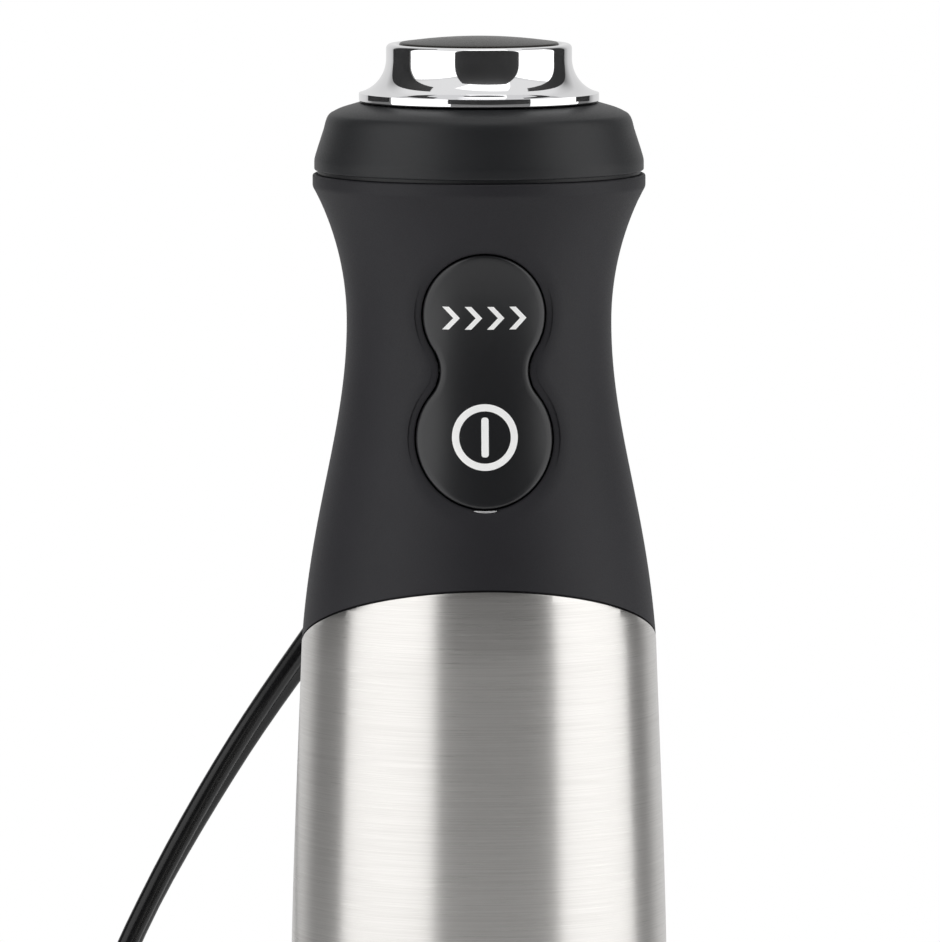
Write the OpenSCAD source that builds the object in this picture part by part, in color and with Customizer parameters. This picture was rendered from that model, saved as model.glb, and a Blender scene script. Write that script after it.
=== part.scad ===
// Immersion blender: steel-sleeved handle, speed dial, rocker switch, motor, pull-off wand.
// Standing on its bell: origin at the middle of the bell's rim, +Z up, buttons towards -Y.

/* [Handle] */
// Height of the top of the dial above the bell's rim
total_h = 400; // [396:0.5:500]
// Radius at the narrowest part of the grip
waist_r = 23.4; // [21:0.1:26]
// Radius of the lip under the collar
lip_r = 29.4; // [28.5:0.1:33]
// Radius where the steel sleeve starts
sleeve_top_r = 31.4; // [31:0.1:36]
// Largest radius of the steel sleeve
sleeve_r = 33.5; // [32.5:0.1:40]
// Length of the handle from the sleeve's lower edge to the dial
handle_l = 202; // [200:1:240]
// Wall of the steel sleeve
sleeve_wall = 0.8; // [0.6:0.1:1]
// Wall of the grip shells
grip_wall = 2.8; // [2.6:0.1:3]
// Rise of the sleeve's slanted edge per millimetre towards the front
cut_slope = 0.38; // [0.2:0.02:0.42]

/* [Dial] */
// Radius of the dial's flange
dial_r = 21.2; // [19:0.1:22.5]
// Radius of the dial's wall
dial_wall_r = 16.4; // [16:0.1:17]
// Radius of the speed control's shaft
pot_shaft_r = 3; // [2.5:0.1:3.4]

/* [Rocker] */
// Radius of the rocker's upper lobe
upper_lobe_r = 10.7; // [9.5:0.1:11.4]
// Radius of the rocker's lower lobe
lower_lobe_r = 11.95; // [11:0.05:12.4]
// Distance between the lobes' middles
lobe_pitch = 21.6; // [21:0.1:23]
// Half of the rocker's waist
rocker_waist = 7.7; // [7.4:0.1:8.2]
// Gap round the rocker
rocker_gap = 0.4; // [0.35:0.05:0.6]
// Radius of the rocker's pin
pin_r = 1.2; // [0.8:0.1:1.3]

/* [Motor] */
// Radius of the stator stack
stator_r = 24.5; // [22:0.1:25]
// Height of the stator stack
stack_h = 30; // [20:1:30]
// Radius of the armature
armature_r = 13.5; // [11:0.1:14]
// Radius of the motor shaft
shaft_r = 2.5; // [2:0.1:3]
// Radius of the ball bearings
bearing_r = 8; // [7:0.1:9]
// Radius of the cooling fan
fan_r = 22; // [18:0.5:24]
// Number of fan blades
fan_blades = 10; // [6:1:14]

/* [Wand] */
// Radius of the plug that goes into the handle
plug_r = 19.9; // [18.5:0.1:20.5]
// Radius of the wand's tube at its top
tube_r = 14; // [13:0.1:15]
// Radius of the wand's tube at the bell
neck_r = 12.6; // [12:0.1:12.8]
// Radius of the bell's rim
bell_r = 31; // [28:0.5:36]
// Wall of the wand and bell
wand_wall = 1.2; // [0.9:0.1:1.5]
// Blade span from tip to tip
blade_span = 44; // [36:1:46]
// Width of the notches in the bell's rim
notch_w = 15; // [10:1:16]
// Height of the notches in the bell's rim
notch_h = 9; // [6:0.5:10]

/* [Fits] */
// Radial clearance of turning and sliding fits
run_fit = 0.05; // [0.02:0.01:0.1]
// Gap between covers
seam = 0.4; // [0.3:0.1:0.6]

/* [Cord] */
// Width of the flat lead
cord_w = 6.4; // [6:0.1:6.8]
// Thickness of the flat lead
cord_t = 3.6; // [3.2:0.1:3.8]

/* [Hidden] */
$fn = 96;
far = 200;

// Heights of the handle, counted down from the dial
top_z = total_h;
flange_z = top_z - 11.4;
collar_top_z = flange_z - 0.3;
collar_z = top_z - 23;
lip_z = collar_z - 1.2;
chamfer_z = top_z - 29;
chamfer_r = lip_r - 1.35;
waist_z = top_z - 50.3;
sleeve_top_z = top_z - 107;
sleeve_full_z = top_z - 180;
sleeve_z = top_z - handle_l;
cut_front_z = top_z - 95;
waist_arc_r = (pow(chamfer_z - waist_z, 2) + pow(chamfer_r - waist_r, 2)) / (2 * (chamfer_r - waist_r));

// Heights of the joint with the wand, counted down from the sleeve's lower edge
socket_z = sleeve_z - 25.8;
socket_top_z = sleeve_z - 7.5;
latch_z = sleeve_z - 17;
socket_r = plug_r + run_fit;
skirt_r = socket_r + 6.3;

// Heights of the motor
stack_z = sleeve_z + 34;
stack_top_z = stack_z + stack_h;
commutator_z = stack_top_z + 9;
commutator_h = 10;
commutator_r = 9;
brush_z = commutator_z + commutator_h / 2;
upper_bearing_z = commutator_z + 13;
lower_bearing_z = stack_z - 15;
bearing_h = 5;
shaft_low_z = sleeve_z - 12;
fan_z = sleeve_z + 7;

// Middles of the rocker's lobes, and its pin
upper_lobe_z = waist_z + 2.7;
lower_lobe_z = upper_lobe_z - lobe_pitch;
pin_z = lower_lobe_z + lobe_pitch * 0.565;
pin_y = -(waist_r - 3.8);
pin_half_l = rocker_waist + 2.1;
foot_reach = 12;
foot_tip_y = pin_y + 3.1;
plunger_r = 1.3;
switch_face_y = foot_tip_y + 5.5;

// A point on a cubic curve, and a run of them
function cubic(p0, p1, p2, p3, t) =
    p0 * pow(1 - t, 3) + 3 * p1 * t * pow(1 - t, 2) + 3 * p2 * t * t * (1 - t) + p3 * pow(t, 3);
function curve(p0, p1, p2, p3, n) = [for (i = [0:n]) cubic(p0, p1, p2, p3, i / n)];
function arc(c, r, a0, a1, n) = [for (i = [0:n]) c + r * [cos(a0 + (a1 - a0) * i / n),
    sin(a0 + (a1 - a0) * i / n)]];
function inset(points, d) = [for (p = points) [p[0] - d, p[1]]];
function reversed(points) = [for (i = [len(points) - 1:-1:0]) points[i]];

// Outline of the handle from the lip down to the sleeve's lower edge
waist_arc = [for (i = [0:8]) let (z = chamfer_z + (waist_z - chamfer_z) * i / 8)
    [waist_r + waist_arc_r - sqrt(pow(waist_arc_r, 2) - pow(z - waist_z, 2)), z]];
grip_swell = curve([waist_r, waist_z], [waist_r, waist_z - 19], [sleeve_top_r - 1.7, sleeve_top_z + 24],
    [sleeve_top_r, sleeve_top_z], 14);
sleeve_swell = curve([sleeve_top_r, sleeve_top_z], [sleeve_top_r + 0.9, sleeve_top_z - 25],
    [sleeve_r, sleeve_full_z + 25], [sleeve_r, sleeve_full_z], 8);
sleeve_foot = curve([sleeve_r, sleeve_full_z], [sleeve_r, sleeve_full_z - 12],
    [sleeve_r - 0.4, sleeve_z + 5], [sleeve_r - 1.5, sleeve_z], 5);
handle_outline = concat([[lip_r, lip_z], [lip_r, lip_z - 2.2]], waist_arc,
    [for (i = [1:14]) grip_swell[i]], [for (i = [1:8]) sleeve_swell[i]], [for (i = [1:5]) sleeve_foot[i]]);
foot_r = sleeve_r - 1.5;
collar_outline = curve([foot_r, sleeve_z - seam], [foot_r - 0.9, sleeve_z - 11],
    [skirt_r + 1.2, socket_z + 9], [skirt_r, socket_z], 8);

// A solid of the handle's outline, shrunk by d
module handle_form(d) {
    rotate_extrude() polygon(concat([[0, lip_z]], inset(handle_outline, d), [[0, sleeve_z]]));
}

// Everything below the slanted edge of the sleeve, lowered by drop
module below_cut(drop) {
    translate([0, 0, cut_front_z - cut_slope * sleeve_top_r - drop]) rotate([-atan(cut_slope), 0, 0])
        translate([-far / 2, -far / 2, -far]) cube(far);
}

module tube(r_out, r_in, z0, z1) {
    translate([0, 0, z0]) difference() {
        cylinder(r = r_out, h = z1 - z0);
        translate([0, 0, -1]) cylinder(r = r_in, h = z1 - z0 + 2);
    }
}

module box(low, high) {
    translate(low) cube(high - low);
}

// The half of space in front of or behind the handle's parting plane
module front_half() {
    box([-far / 2, -far / 2, 0], [far / 2, 0, total_h + 10]);
}

// Rocker outline in the XZ plane: two lobes blended by round waists
waist_blend_r = rocker_blend(0, 40, 24);
function blend_error(r) = sqrt(pow(upper_lobe_r + r, 2) - pow(rocker_waist + r, 2))
    + sqrt(pow(lower_lobe_r + r, 2) - pow(rocker_waist + r, 2)) - lobe_pitch;
function rocker_blend(low, high, n) = n == 0 ? (low + high) / 2 : blend_error((low + high) / 2) > 0
    ? rocker_blend(low, (low + high) / 2, n - 1) : rocker_blend((low + high) / 2, high, n - 1);
blend_z = upper_lobe_z - sqrt(pow(upper_lobe_r + waist_blend_r, 2) - pow(rocker_waist + waist_blend_r, 2));
blend_x = rocker_waist + waist_blend_r;

module rocker_outline(grow) {
    translate([0, upper_lobe_z]) circle(upper_lobe_r + grow);
    translate([0, lower_lobe_z]) circle(lower_lobe_r + grow);
    difference() {
        polygon([[0, upper_lobe_z], [blend_x, blend_z], [0, lower_lobe_z], [-blend_x, blend_z]]);
        for (s = [-1, 1]) translate([s * blend_x, blend_z]) circle(waist_blend_r - grow);
    }
}

// The rocker's outline pushed from y0 to y1
module rocker_prism(grow, y0, y1) {
    translate([0, y1, 0]) rotate([90, 0, 0]) linear_extrude(y1 - y0) rocker_outline(grow);
}

// Dial

flare_r = 6.3;
module dial_ring() {
    color("silver") rotate_extrude() polygon(concat(
        [[dial_wall_r - 1.2, flange_z], [dial_r, flange_z], [dial_r, flange_z + 1.35]],
        arc([dial_wall_r + flare_r, top_z - 3.8], flare_r, 256, 180, 10),
        arc([dial_wall_r - 0.7, top_z - 1.95], 0.7, 0, 90, 4),
        [[dial_wall_r - 2, top_z - 1.25], [dial_wall_r - 2, top_z - 3.6], [dial_wall_r - 3.4, top_z - 3.6],
        [dial_wall_r - 3.4, top_z - 6], [dial_wall_r - 1.2, top_z - 6]]));
}

module dial_cap() {
    cap_r = dial_wall_r - 2.3;
    rise = 1.1;
    dome_r = (cap_r * cap_r + rise * rise) / (2 * rise);
    half = asin(cap_r / dome_r);
    color("dimgray") rotate_extrude() polygon(concat([[0, top_z - 3.6], [cap_r, top_z - 3.6]],
        arc([0, top_z - dome_r], dome_r, 90 - half, 90, 6)));
}

// The flat on the speed control's shaft is the same in the shaft and the hub
flat_y = pot_shaft_r - 0.8;
module pot_shaft_form() {
    intersection() {
        translate([0, 0, top_z - 24.5]) cylinder(r = pot_shaft_r, h = 15.5);
        box([-pot_shaft_r, -pot_shaft_r, top_z - 25], [pot_shaft_r, flat_y, top_z]);
    }
}

module dial_hub() {
    color("black") difference() {
        union() {
            tube(dial_wall_r - 1.2, 2, flange_z + 0.6, top_z - 7);
            tube(7, 2, top_z - 18.6, flange_z + 1);
        }
        pot_shaft_form();
        translate([0, 0, top_z - 40]) cylinder(r = 2.2, h = 31);
    }
}

module pot_shaft() {
    color("gainsboro") union() {
        pot_shaft_form();
        translate([0, 0, top_z - 26]) cylinder(r = pot_shaft_r, h = 2);
    }
}

module top_collar() {
    color("black") rotate_extrude() polygon(concat(
        [[8, collar_top_z], [dial_r + 0.1, collar_top_z]],
        [[lip_r - 4.7, collar_top_z - 1]],
        curve([lip_r - 3.2, collar_top_z - 1.8], [lip_r - 2.5, collar_top_z - 2.3],
            [lip_r - 2.3, collar_top_z - 3.2], [lip_r - 2, collar_top_z - 4.5], 4),
        [[lip_r - 0.7, collar_z + 2.8], [lip_r - 0.3, collar_z + 1.4], [lip_r - 0.3, collar_z],
        [lip_r - grip_wall, collar_z], [lip_r - grip_wall, collar_z - 5],
        [lip_r - grip_wall - 1.8, collar_z - 5], [lip_r - grip_wall - 1.8, collar_z - 1.4],
        [pot_shaft_r + 1, collar_z - 1.4], [pot_shaft_r + 1, collar_z + 0.6],
        [lip_r - grip_wall - 1.2, collar_z + 0.6], [lip_r - 4.6, collar_top_z - 4],
        [lip_r - 7, collar_top_z - 2.2], [8, collar_top_z - 2.2]]));
}

module speed_pot() {
    color("teal") union() {
        tube(8.5, pot_shaft_r + run_fit, top_z - 27.5, collar_z - 1.4);
        tube(pot_shaft_r + 1, pot_shaft_r + run_fit, top_z - 27.5, collar_z + 3.6);
        translate([0, 0, top_z - 30.5]) cylinder(r = 8.5, h = 3);
        for (x = [-5, 0, 5]) box([x - 1, -12, top_z - 29], [x + 1, -5, top_z - 28.2]);
    }
}

module pot_nut() {
    color("gold") translate([0, 0, collar_z + 0.6]) difference() {
        cylinder(r = 6.2, h = 2, $fn = 6);
        translate([0, 0, -1]) cylinder(r = pot_shaft_r + 1, h = 4);
    }
}

// Grip shells

relief_z = top_z - 42;
relief_tilt = 25;
relief_l = 34;
relief_y = waist_r - 0.6;
boss_w = 3.6;
module along_relief() {
    translate([0, relief_y, relief_z]) rotate([-90 - relief_tilt, 0, 0]) children();
}

// Blocks inside the grip that hold the rocker's pin
module pin_bosses() {
    for (s = [-1, 1]) box([s > 0 ? rocker_waist + rocker_gap : -rocker_waist - rocker_gap - boss_w,
            pin_y - pin_r, pin_z - pin_r - 1.4],
        [s > 0 ? rocker_waist + rocker_gap + boss_w : -rocker_waist - rocker_gap, pin_y + pin_r + 1,
            pin_z + pin_r + 1.4]);
}

module pin_bar(r, half) {
    translate([-half, pin_y, pin_z]) rotate([0, 90, 0]) cylinder(r = r, h = 2 * half, $fn = 32);
}

skirt_inset = sleeve_wall + 0.15;
skirt_z = top_z - 128;
module grip_tube() {
    difference() {
        union() {
            difference() {
                handle_form(0);
                below_cut(-seam);
            }
            handle_form(skirt_inset);
        }
        handle_form(grip_wall);
        translate([0, 0, chamfer_z - 0.1]) cylinder(r = lip_r - grip_wall, h = far);
        translate([0, 0, -1]) cylinder(r = far, h = skirt_z + 1);
    }
}

halo_w = 2.3;
halo_d = 0.45;
module grip_front() {
    color([0.16, 0.16, 0.17]) difference() {
        union() {
            intersection() {
                grip_tube();
                front_half();
            }
            intersection() {
                pin_bosses();
                handle_form(1);
            }
        }
        rocker_prism(rocker_gap, -40, 0);
        difference() {
            rocker_prism(halo_w + rocker_gap, -40, 0);
            handle_form(halo_d);
        }
        pin_bar(pin_r, pin_half_l);
    }
}

module grip_rear() {
    color([0.16, 0.16, 0.17]) difference() {
        grip_tube();
        front_half();
        along_relief() relief_form();
    }
}

// Steel sleeve, motor housing and lower collar

module steel_sleeve() {
    color([0.78, 0.77, 0.75]) difference() {
        intersection() {
            handle_form(0);
            below_cut(0);
        }
        handle_form(sleeve_wall);
        translate([0, 0, sleeve_z - 1]) cylinder(r = sleeve_r - 1.5 - sleeve_wall, h = 3);
    }
}

housing_r = sleeve_top_r - grip_wall - 0.6;
housing_in_r = housing_r - 1.7;
sleeve_skirt_r = lookup(skirt_z, [for (p = sleeve_swell) [p[1], p[0]]]);
housing_low_r = min(foot_r, sleeve_skirt_r) - sleeve_wall - 0.3;
shelf_z = lower_bearing_z + 2;
screw_angles = [45, 165, 285];
screw_ring_r = housing_low_r - 4.3;
module motor_housing() {
    color([0.3, 0.3, 0.32]) difference() {
        union() {
            rotate_extrude() polygon([
                [housing_low_r, sleeve_z + 6.2], [housing_low_r, skirt_z - 3], [housing_r, skirt_z + 0.6],
                [housing_r, carrier_z], [housing_in_r, carrier_z], [housing_in_r, skirt_z - 1],
                [housing_low_r - 1.7, skirt_z - 4.6], [housing_low_r - 1.7, shelf_z],
                [stator_r - 2.5, shelf_z], [stator_r - 2.5, shelf_z - 2],
                [housing_low_r - 1.7, shelf_z - 2], [housing_low_r - 1.7, sleeve_z + 6.2]]);
            for (a = screw_angles) rotate(a) translate([screw_ring_r, 0, sleeve_z + 6.2])
                cylinder(r = 3.2, h = shelf_z - 1 - sleeve_z - 6.2);
        }
        for (a = screw_angles) rotate(a) translate([screw_ring_r, 0, sleeve_z + 5])
            cylinder(r = 1.5, h = 8.4);
    }
}

button_half = 6;
button_low_z = sleeve_z - 20;
button_high_z = sleeve_z - 8.5;
collar_wall = 2;
module lower_collar() {
    color("black") difference() {
        rotate_extrude() polygon(concat([[socket_r, socket_z], [skirt_r, socket_z]],
            reversed(collar_outline),
            [[foot_r - sleeve_wall - 0.05, sleeve_z - seam], [foot_r - sleeve_wall - 0.05, sleeve_z + 6]],
            [[housing_low_r - 8, sleeve_z + 6], [housing_low_r - 8, sleeve_z + 3.5],
            [foot_r - sleeve_wall - 2, sleeve_z + 3.5]],
            inset([for (i = [0:7]) collar_outline[i]], collar_wall),
            [[socket_r + 2.4, socket_z + 3.5], [socket_r + 2.4, socket_top_z], [10, socket_top_z + 2.4],
            [10, socket_top_z], [socket_r, socket_top_z]]));
        for (s = [-1, 1]) {
            box([s > 0 ? socket_r + 3.4 : -far, -button_half - 0.35, button_low_z - 0.35],
                [s > 0 ? far : -socket_r - 3.4, button_half + 0.35, button_high_z + 0.35]);
            box([s > 0 ? 15 : -socket_r - 4, -2.2, latch_z - 1.2],
                [s > 0 ? socket_r + 4 : -15, 2.2, latch_z + 1.2]);
        }
        translate([0, 0, latch_z]) rotate_extrude() translate([socket_r + 0.2, 0])
            square([3.4, 1.8], center = true);
        for (a = screw_angles) rotate(a) translate([screw_ring_r, 0, sleeve_z]) cylinder(r = 1.5, h = 10);
    }
}

module collar_screws() {
    color("lightgray") for (a = screw_angles) rotate(a) translate([screw_ring_r, 0, 0]) {
        translate([0, 0, sleeve_z + 1.5]) cylinder(r = 2.6, h = 2);
        translate([0, 0, sleeve_z + 3.4]) cylinder(r = 1.5, h = 10);
    }
}

// A shell that follows the lower collar, from depth d0 to depth d1
module collar_shell(d0, d1) {
    difference() {
        rotate_extrude() polygon(concat([[0, sleeve_z - seam]], inset(collar_outline, d0),
            [[0, socket_z]]));
        rotate_extrude() polygon(concat([[0, sleeve_z - seam]], inset(collar_outline, d1),
            [[0, socket_z]]));
    }
}

// A release button: face proud of the collar, retaining flange behind, tongue to the latch ring
module release_button(s) {
    color("dimgray") union() {
        intersection() {
            collar_shell(-0.5, collar_wall + 1);
            box([s > 0 ? 10 : -far, -button_half, button_low_z],
                [s > 0 ? far : -10, button_half, button_high_z]);
        }
        intersection() {
            collar_shell(collar_wall + 0.15, collar_wall + 1.1);
            box([s > 0 ? 10 : -far, -button_half - 1.4, button_low_z - 0.5],
                [s > 0 ? far : -10, button_half + 1.4, button_high_z + 1]);
        }
        box([s > 0 ? socket_r + 1.3 : -skirt_r - 1, -1.6, latch_z - 0.8],
            [s > 0 ? skirt_r + 1 : -socket_r - 1.3, 1.6, latch_z + 0.8]);
    }
}

module release_button_left() {
    release_button(-1);
}

module release_button_right() {
    release_button(1);
}

latch_wire_r = 0.7;
module latch_ring() {
    color("silver") translate([0, 0, latch_z]) rotate(-70) rotate_extrude(angle = 320)
        translate([socket_r + 0.1, 0]) circle(latch_wire_r, $fn = 24);
}

// Rocker, switches and electronics

button_inset = 0.15;
module rocker_button() {
    color([0.08, 0.08, 0.09]) difference() {
        union() {
            difference() {
                intersection() {
                    handle_form(button_inset);
                    rocker_prism(0, -40, pin_y + 1.2);
                }
                intersection() {
                    handle_form(button_inset + 1.8);
                    rocker_prism(-1.4, -40, 0);
                }
            }
            intersection() {
                for (s = [-1, 1]) translate([0, foot_tip_y, pin_z + s * foot_reach]) rotate([90, 0, 0])
                    cylinder(r = 2.4, h = 14, $fn = 32);
                handle_form(button_inset + 0.6);
            }
            for (x = [-5.6, 5.6]) box([x - 1.3, -waist_r + 1, pin_z - 2.3],
                [x + 1.3, pin_y + 1.9, pin_z + 2.3]);
        }
        pin_bar(pin_r + run_fit, rocker_waist + 2);
    }
}

module rocker_pin() {
    color("silver") pin_bar(pin_r, pin_half_l);
}

module button_seal() {
    color("dimgray") difference() {
        intersection() {
            handle_form(grip_wall);
            rocker_prism(3.4, -40, 0);
        }
        handle_form(grip_wall + 1.2);
        rocker_prism(0.6, -40, 0);
        box([-20, -40, pin_z - 4], [20, 0, pin_z + 4]);
    }
}

module plunger(z) {
    color("ivory") translate([0, switch_face_y + 2, z]) rotate([90, 0, 0])
        cylinder(r = plunger_r, h = switch_face_y + 2 - foot_tip_y - 0.05, $fn = 32);
}

module on_plunger() {
    plunger(pin_z - foot_reach);
}

module turbo_plunger() {
    plunger(pin_z + foot_reach);
}

carrier_z = top_z - 104;
board_y = switch_face_y + 7.4;
module switch_carrier() {
    color("dimgray") union() {
        difference() {
            translate([0, 0, carrier_z]) cylinder(r = housing_r - 0.8, h = 2);
            for (s = [-1, 1]) translate([s * 18, 8, carrier_z - 1]) cylinder(r = 4, h = 4);
        }
        box([-12, board_y + 3.6, carrier_z + 1], [12, board_y + 5.6, top_z - 36]);
        for (x = [-9, 9]) for (z = [pin_z - 20, pin_z + 20]) translate([x, board_y + 4, z])
            rotate([90, 0, 0])
            cylinder(r = 2, h = 2.4);
    }
}

module switch_board() {
    color("darkgreen") box([-11.5, board_y, pin_z - 24], [11.5, board_y + 1.6, pin_z + 22]);
}

module micro_switches() {
    color([0.1, 0.1, 0.12]) for (z = [pin_z - foot_reach, pin_z + foot_reach]) difference() {
        box([-6.4, switch_face_y, z - 5.4], [6.4, board_y, z + 5.4]);
        translate([0, switch_face_y + 3, z]) rotate([90, 0, 0])
            cylinder(r = plunger_r + run_fit, h = 6, $fn = 32);
    }
}

control_y = board_y + 8;
module control_board() {
    color("darkgreen") union() {
        box([-13, control_y, carrier_z + 3], [13, control_y + 1.6, carrier_z + 39]);
        for (x = [-8, 8]) box([x - 2, board_y + 5.6, carrier_z + 6], [x + 2, control_y, carrier_z + 10]);
    }
}

module triac() {
    color([0.12, 0.12, 0.13]) box([-11, control_y + 1.6, carrier_z + 20],
        [-1, control_y + 6, carrier_z + 32]);
}

module heat_sink() {
    color("lightgray") union() {
        box([-12, control_y + 6, carrier_z + 18], [0, control_y + 7.5, carrier_z + 37]);
        for (i = [0:3]) box([-11.6 + 3.4 * i, control_y + 7.5, carrier_z + 18],
            [-10.4 + 3.4 * i, control_y + 10, carrier_z + 37]);
    }
}

module capacitor() {
    color("gold") box([2, control_y + 1.6, carrier_z + 18], [12, control_y + 8, carrier_z + 34]);
}

module terminal_block() {
    color("seagreen") difference() {
        box([-8, control_y + 1.6, carrier_z + 5], [8, control_y + 10, carrier_z + 15]);
        for (x = [-4, 4]) translate([x, control_y + 6, carrier_z + 9]) cylinder(r = 1.6, h = 8, $fn = 24);
    }
}

// Motor

bore_gap = 0.8;
coil_in_r = armature_r + bore_gap + 1;
coil_out_r = armature_r + 7.8;
pole_half = 38;
coil_half = 60;

// A ring segment centred on +Y, half degrees wide each way
module sector(r_in, r_out, z0, z1, half) {
    translate([0, 0, z0]) rotate(90 - half) rotate_extrude(angle = 2 * half)
        translate([r_in, 0]) square([r_out - r_in, z1 - z0]);
}

module stator_stack() {
    color([0.45, 0.45, 0.48]) difference() {
        translate([0, 0, stack_z]) cylinder(r = stator_r, h = stack_h);
        translate([0, 0, stack_z - 1]) cylinder(r = armature_r + bore_gap, h = stack_h + 2);
        for (a = [0, 180]) rotate(a) difference() {
            sector(armature_r - 1, coil_out_r, stack_z - 1, stack_top_z + 1, coil_half);
            sector(armature_r - 2, coil_out_r + 1, stack_z - 2, stack_top_z + 2, pole_half);
        }
        for (x = [-1, 1]) translate([x * (stator_r - 3.5), 0, stack_z - 1])
            cylinder(r = 1.7, h = stack_h + 2, $fn = 32);
    }
}

module field_coils() {
    color([0.72, 0.4, 0.2]) for (a = [0, 180]) rotate(a) difference() {
        sector(coil_in_r, coil_out_r, stack_z - 5, stack_top_z + 5, coil_half);
        sector(coil_in_r - 1, coil_out_r + 1, stack_z - 0.2, stack_top_z + 0.2, pole_half);
    }
}

bracket_r = stator_r - 0.3;
mount_in_r = bracket_r - 0.8;
module upper_bracket() {
    color([0.2, 0.2, 0.22]) difference() {
        union() {
            translate([0, 0, upper_bearing_z - 1]) cylinder(r = bracket_r, h = 3);
            translate([0, 0, upper_bearing_z - 1]) cylinder(r = bearing_r + 2, h = bearing_h + 1.6);
            for (x = [-1, 1]) translate([x * (stator_r - 3.5), 0, stack_top_z])
                cylinder(r = 2.8, h = upper_bearing_z - stack_top_z);
            for (y = [-1, 1]) translate([-4.6, y * 16 - 3.5, brush_z + 3.4])
                cube([9.2, 7, upper_bearing_z - brush_z - 4]);
        }
        translate([0, 0, upper_bearing_z - 2]) cylinder(r = bearing_r - 1.5, h = 20);
        translate([0, 0, upper_bearing_z]) cylinder(r = bearing_r, h = bearing_h);
        for (x = [-1, 1]) translate([x * (stator_r - 3.5), 0, stack_top_z - 1])
            cylinder(r = 1.7, h = 30, $fn = 32);
        for (a = [45, 135, 225, 315]) rotate(a) translate([16, 0, upper_bearing_z - 2])
            cylinder(r = 4, h = 6);
    }
}

module lower_bracket() {
    color([0.2, 0.2, 0.22]) difference() {
        union() {
            translate([0, 0, stack_z - 10]) cylinder(r = bracket_r, h = 3);
            for (x = [-1, 1]) translate([x * (stator_r - 3.5), 0, stack_z - 8]) cylinder(r = 2.6, h = 8);
            translate([0, 0, lower_bearing_z - 1.2])
                cylinder(r = bearing_r + 2, h = stack_z - 8 - lower_bearing_z);
        }
        translate([0, 0, lower_bearing_z]) cylinder(r = bearing_r, h = bearing_h);
        translate([0, 0, lower_bearing_z - 2]) cylinder(r = bearing_r - 1.5, h = 20);
        for (x = [-1, 1]) translate([x * (stator_r - 3.5), 0, stack_z - 20])
            cylinder(r = 1.7, h = 30, $fn = 32);
        for (a = [45, 135, 225, 315]) rotate(a) translate([16, 0, stack_z - 12]) cylinder(r = 4.4, h = 6);
    }
}

module motor_screws() {
    color("silver") for (x = [-1, 1]) translate([x * (stator_r - 3.5), 0, 0]) {
        translate([0, 0, stack_z - 9]) cylinder(r = 1.6, h = upper_bearing_z + 2 - stack_z + 9, $fn = 32);
        translate([0, 0, upper_bearing_z + 2]) cylinder(r = 2.9, h = 2, $fn = 32);
    }
}

module mount_ring_upper() {
    color([0.25, 0.25, 0.25]) tube(housing_in_r, bracket_r, upper_bearing_z - 1.5, upper_bearing_z + 2.5);
}

module mount_ring_lower() {
    color([0.25, 0.25, 0.25]) tube(housing_low_r - 2.2, stator_r - 3.2 + 1, shelf_z, stack_z - 10);
}

module motor_bearings() {
    color("silver") for (z = [lower_bearing_z, upper_bearing_z])
        tube(bearing_r, shaft_r + 0.02, z, z + bearing_h);
}

spring_l = 4.5;
brush_back_r = stator_r - 3 - spring_l;
module brush_holders() {
    color("goldenrod") for (a = [0, 180]) rotate(a) difference() {
        box([-3.8, commutator_r + 2.5, brush_z - 3.3], [3.8, stator_r - 2, brush_z + 3.3]);
        box([-3.1, commutator_r, brush_z - 2.6], [3.1, stator_r - 3, brush_z + 2.6]);
    }
}

module carbon_brushes() {
    color([0.15, 0.15, 0.15]) difference() {
        for (a = [0, 180]) rotate(a) box([-3, commutator_r - 2, brush_z - 2.5],
            [3, brush_back_r, brush_z + 2.5]);
        translate([0, 0, brush_z - 6]) cylinder(r = commutator_r + run_fit, h = 12);
    }
}

module brush_springs() {
    turns = 7;
    wire_r = 0.4;
    color("silver") for (a = [0, 180]) rotate(a) for (i = [0:turns - 1])
        translate([0, brush_back_r + wire_r + (spring_l - 2 * wire_r) * i / (turns - 1), brush_z])
            rotate([90, 0, 0]) rotate_extrude($fn = 24) translate([1.9, 0]) circle(wire_r, $fn = 16);
}

module motor_shaft() {
    color("gainsboro") translate([0, 0, shaft_low_z])
        cylinder(r = shaft_r, h = upper_bearing_z + bearing_h + 1.5 - shaft_low_z);
}

module armature_core() {
    color([0.5, 0.5, 0.52]) translate([0, 0, stack_z]) linear_extrude(stack_h) difference() {
        circle(armature_r);
        circle(shaft_r);
        for (i = [0:11]) rotate(30 * i) translate([armature_r - 5, -0.8]) square([6, 1.6]);
    }
}

module armature_windings() {
    color([0.75, 0.42, 0.22]) for (z = [stack_z - 6, stack_top_z]) translate([0, 0, z]) difference() {
        rotate_extrude() polygon(concat([[shaft_r + 2, 0]],
            [[armature_r - 1.5, 0], [armature_r - 1, 1.5], [armature_r - 1, 4.5], [armature_r - 2.5, 6]],
            [[shaft_r + 2, 6]]));
        for (i = [0:11]) rotate(30 * i + 15) translate([armature_r - 3, -0.6, -1]) cube([4, 1.2, 8]);
    }
}

module commutator() {
    color([0.8, 0.5, 0.3]) translate([0, 0, commutator_z]) linear_extrude(commutator_h) difference() {
        circle(commutator_r);
        circle(shaft_r);
        for (i = [0:23]) rotate(15 * i) translate([commutator_r - 1, -0.25]) square([2, 0.5]);
    }
}

module cooling_fan() {
    color("black") union() {
        tube(fan_r, shaft_r, fan_z, fan_z + 1.4);
        tube(6, shaft_r, fan_z, fan_z + 8);
        for (i = [0:fan_blades - 1]) rotate(i * 360 / fan_blades)
            box([5.5, -0.6, fan_z], [fan_r - 1, 0.6, fan_z + 7]);
    }
}

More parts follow.
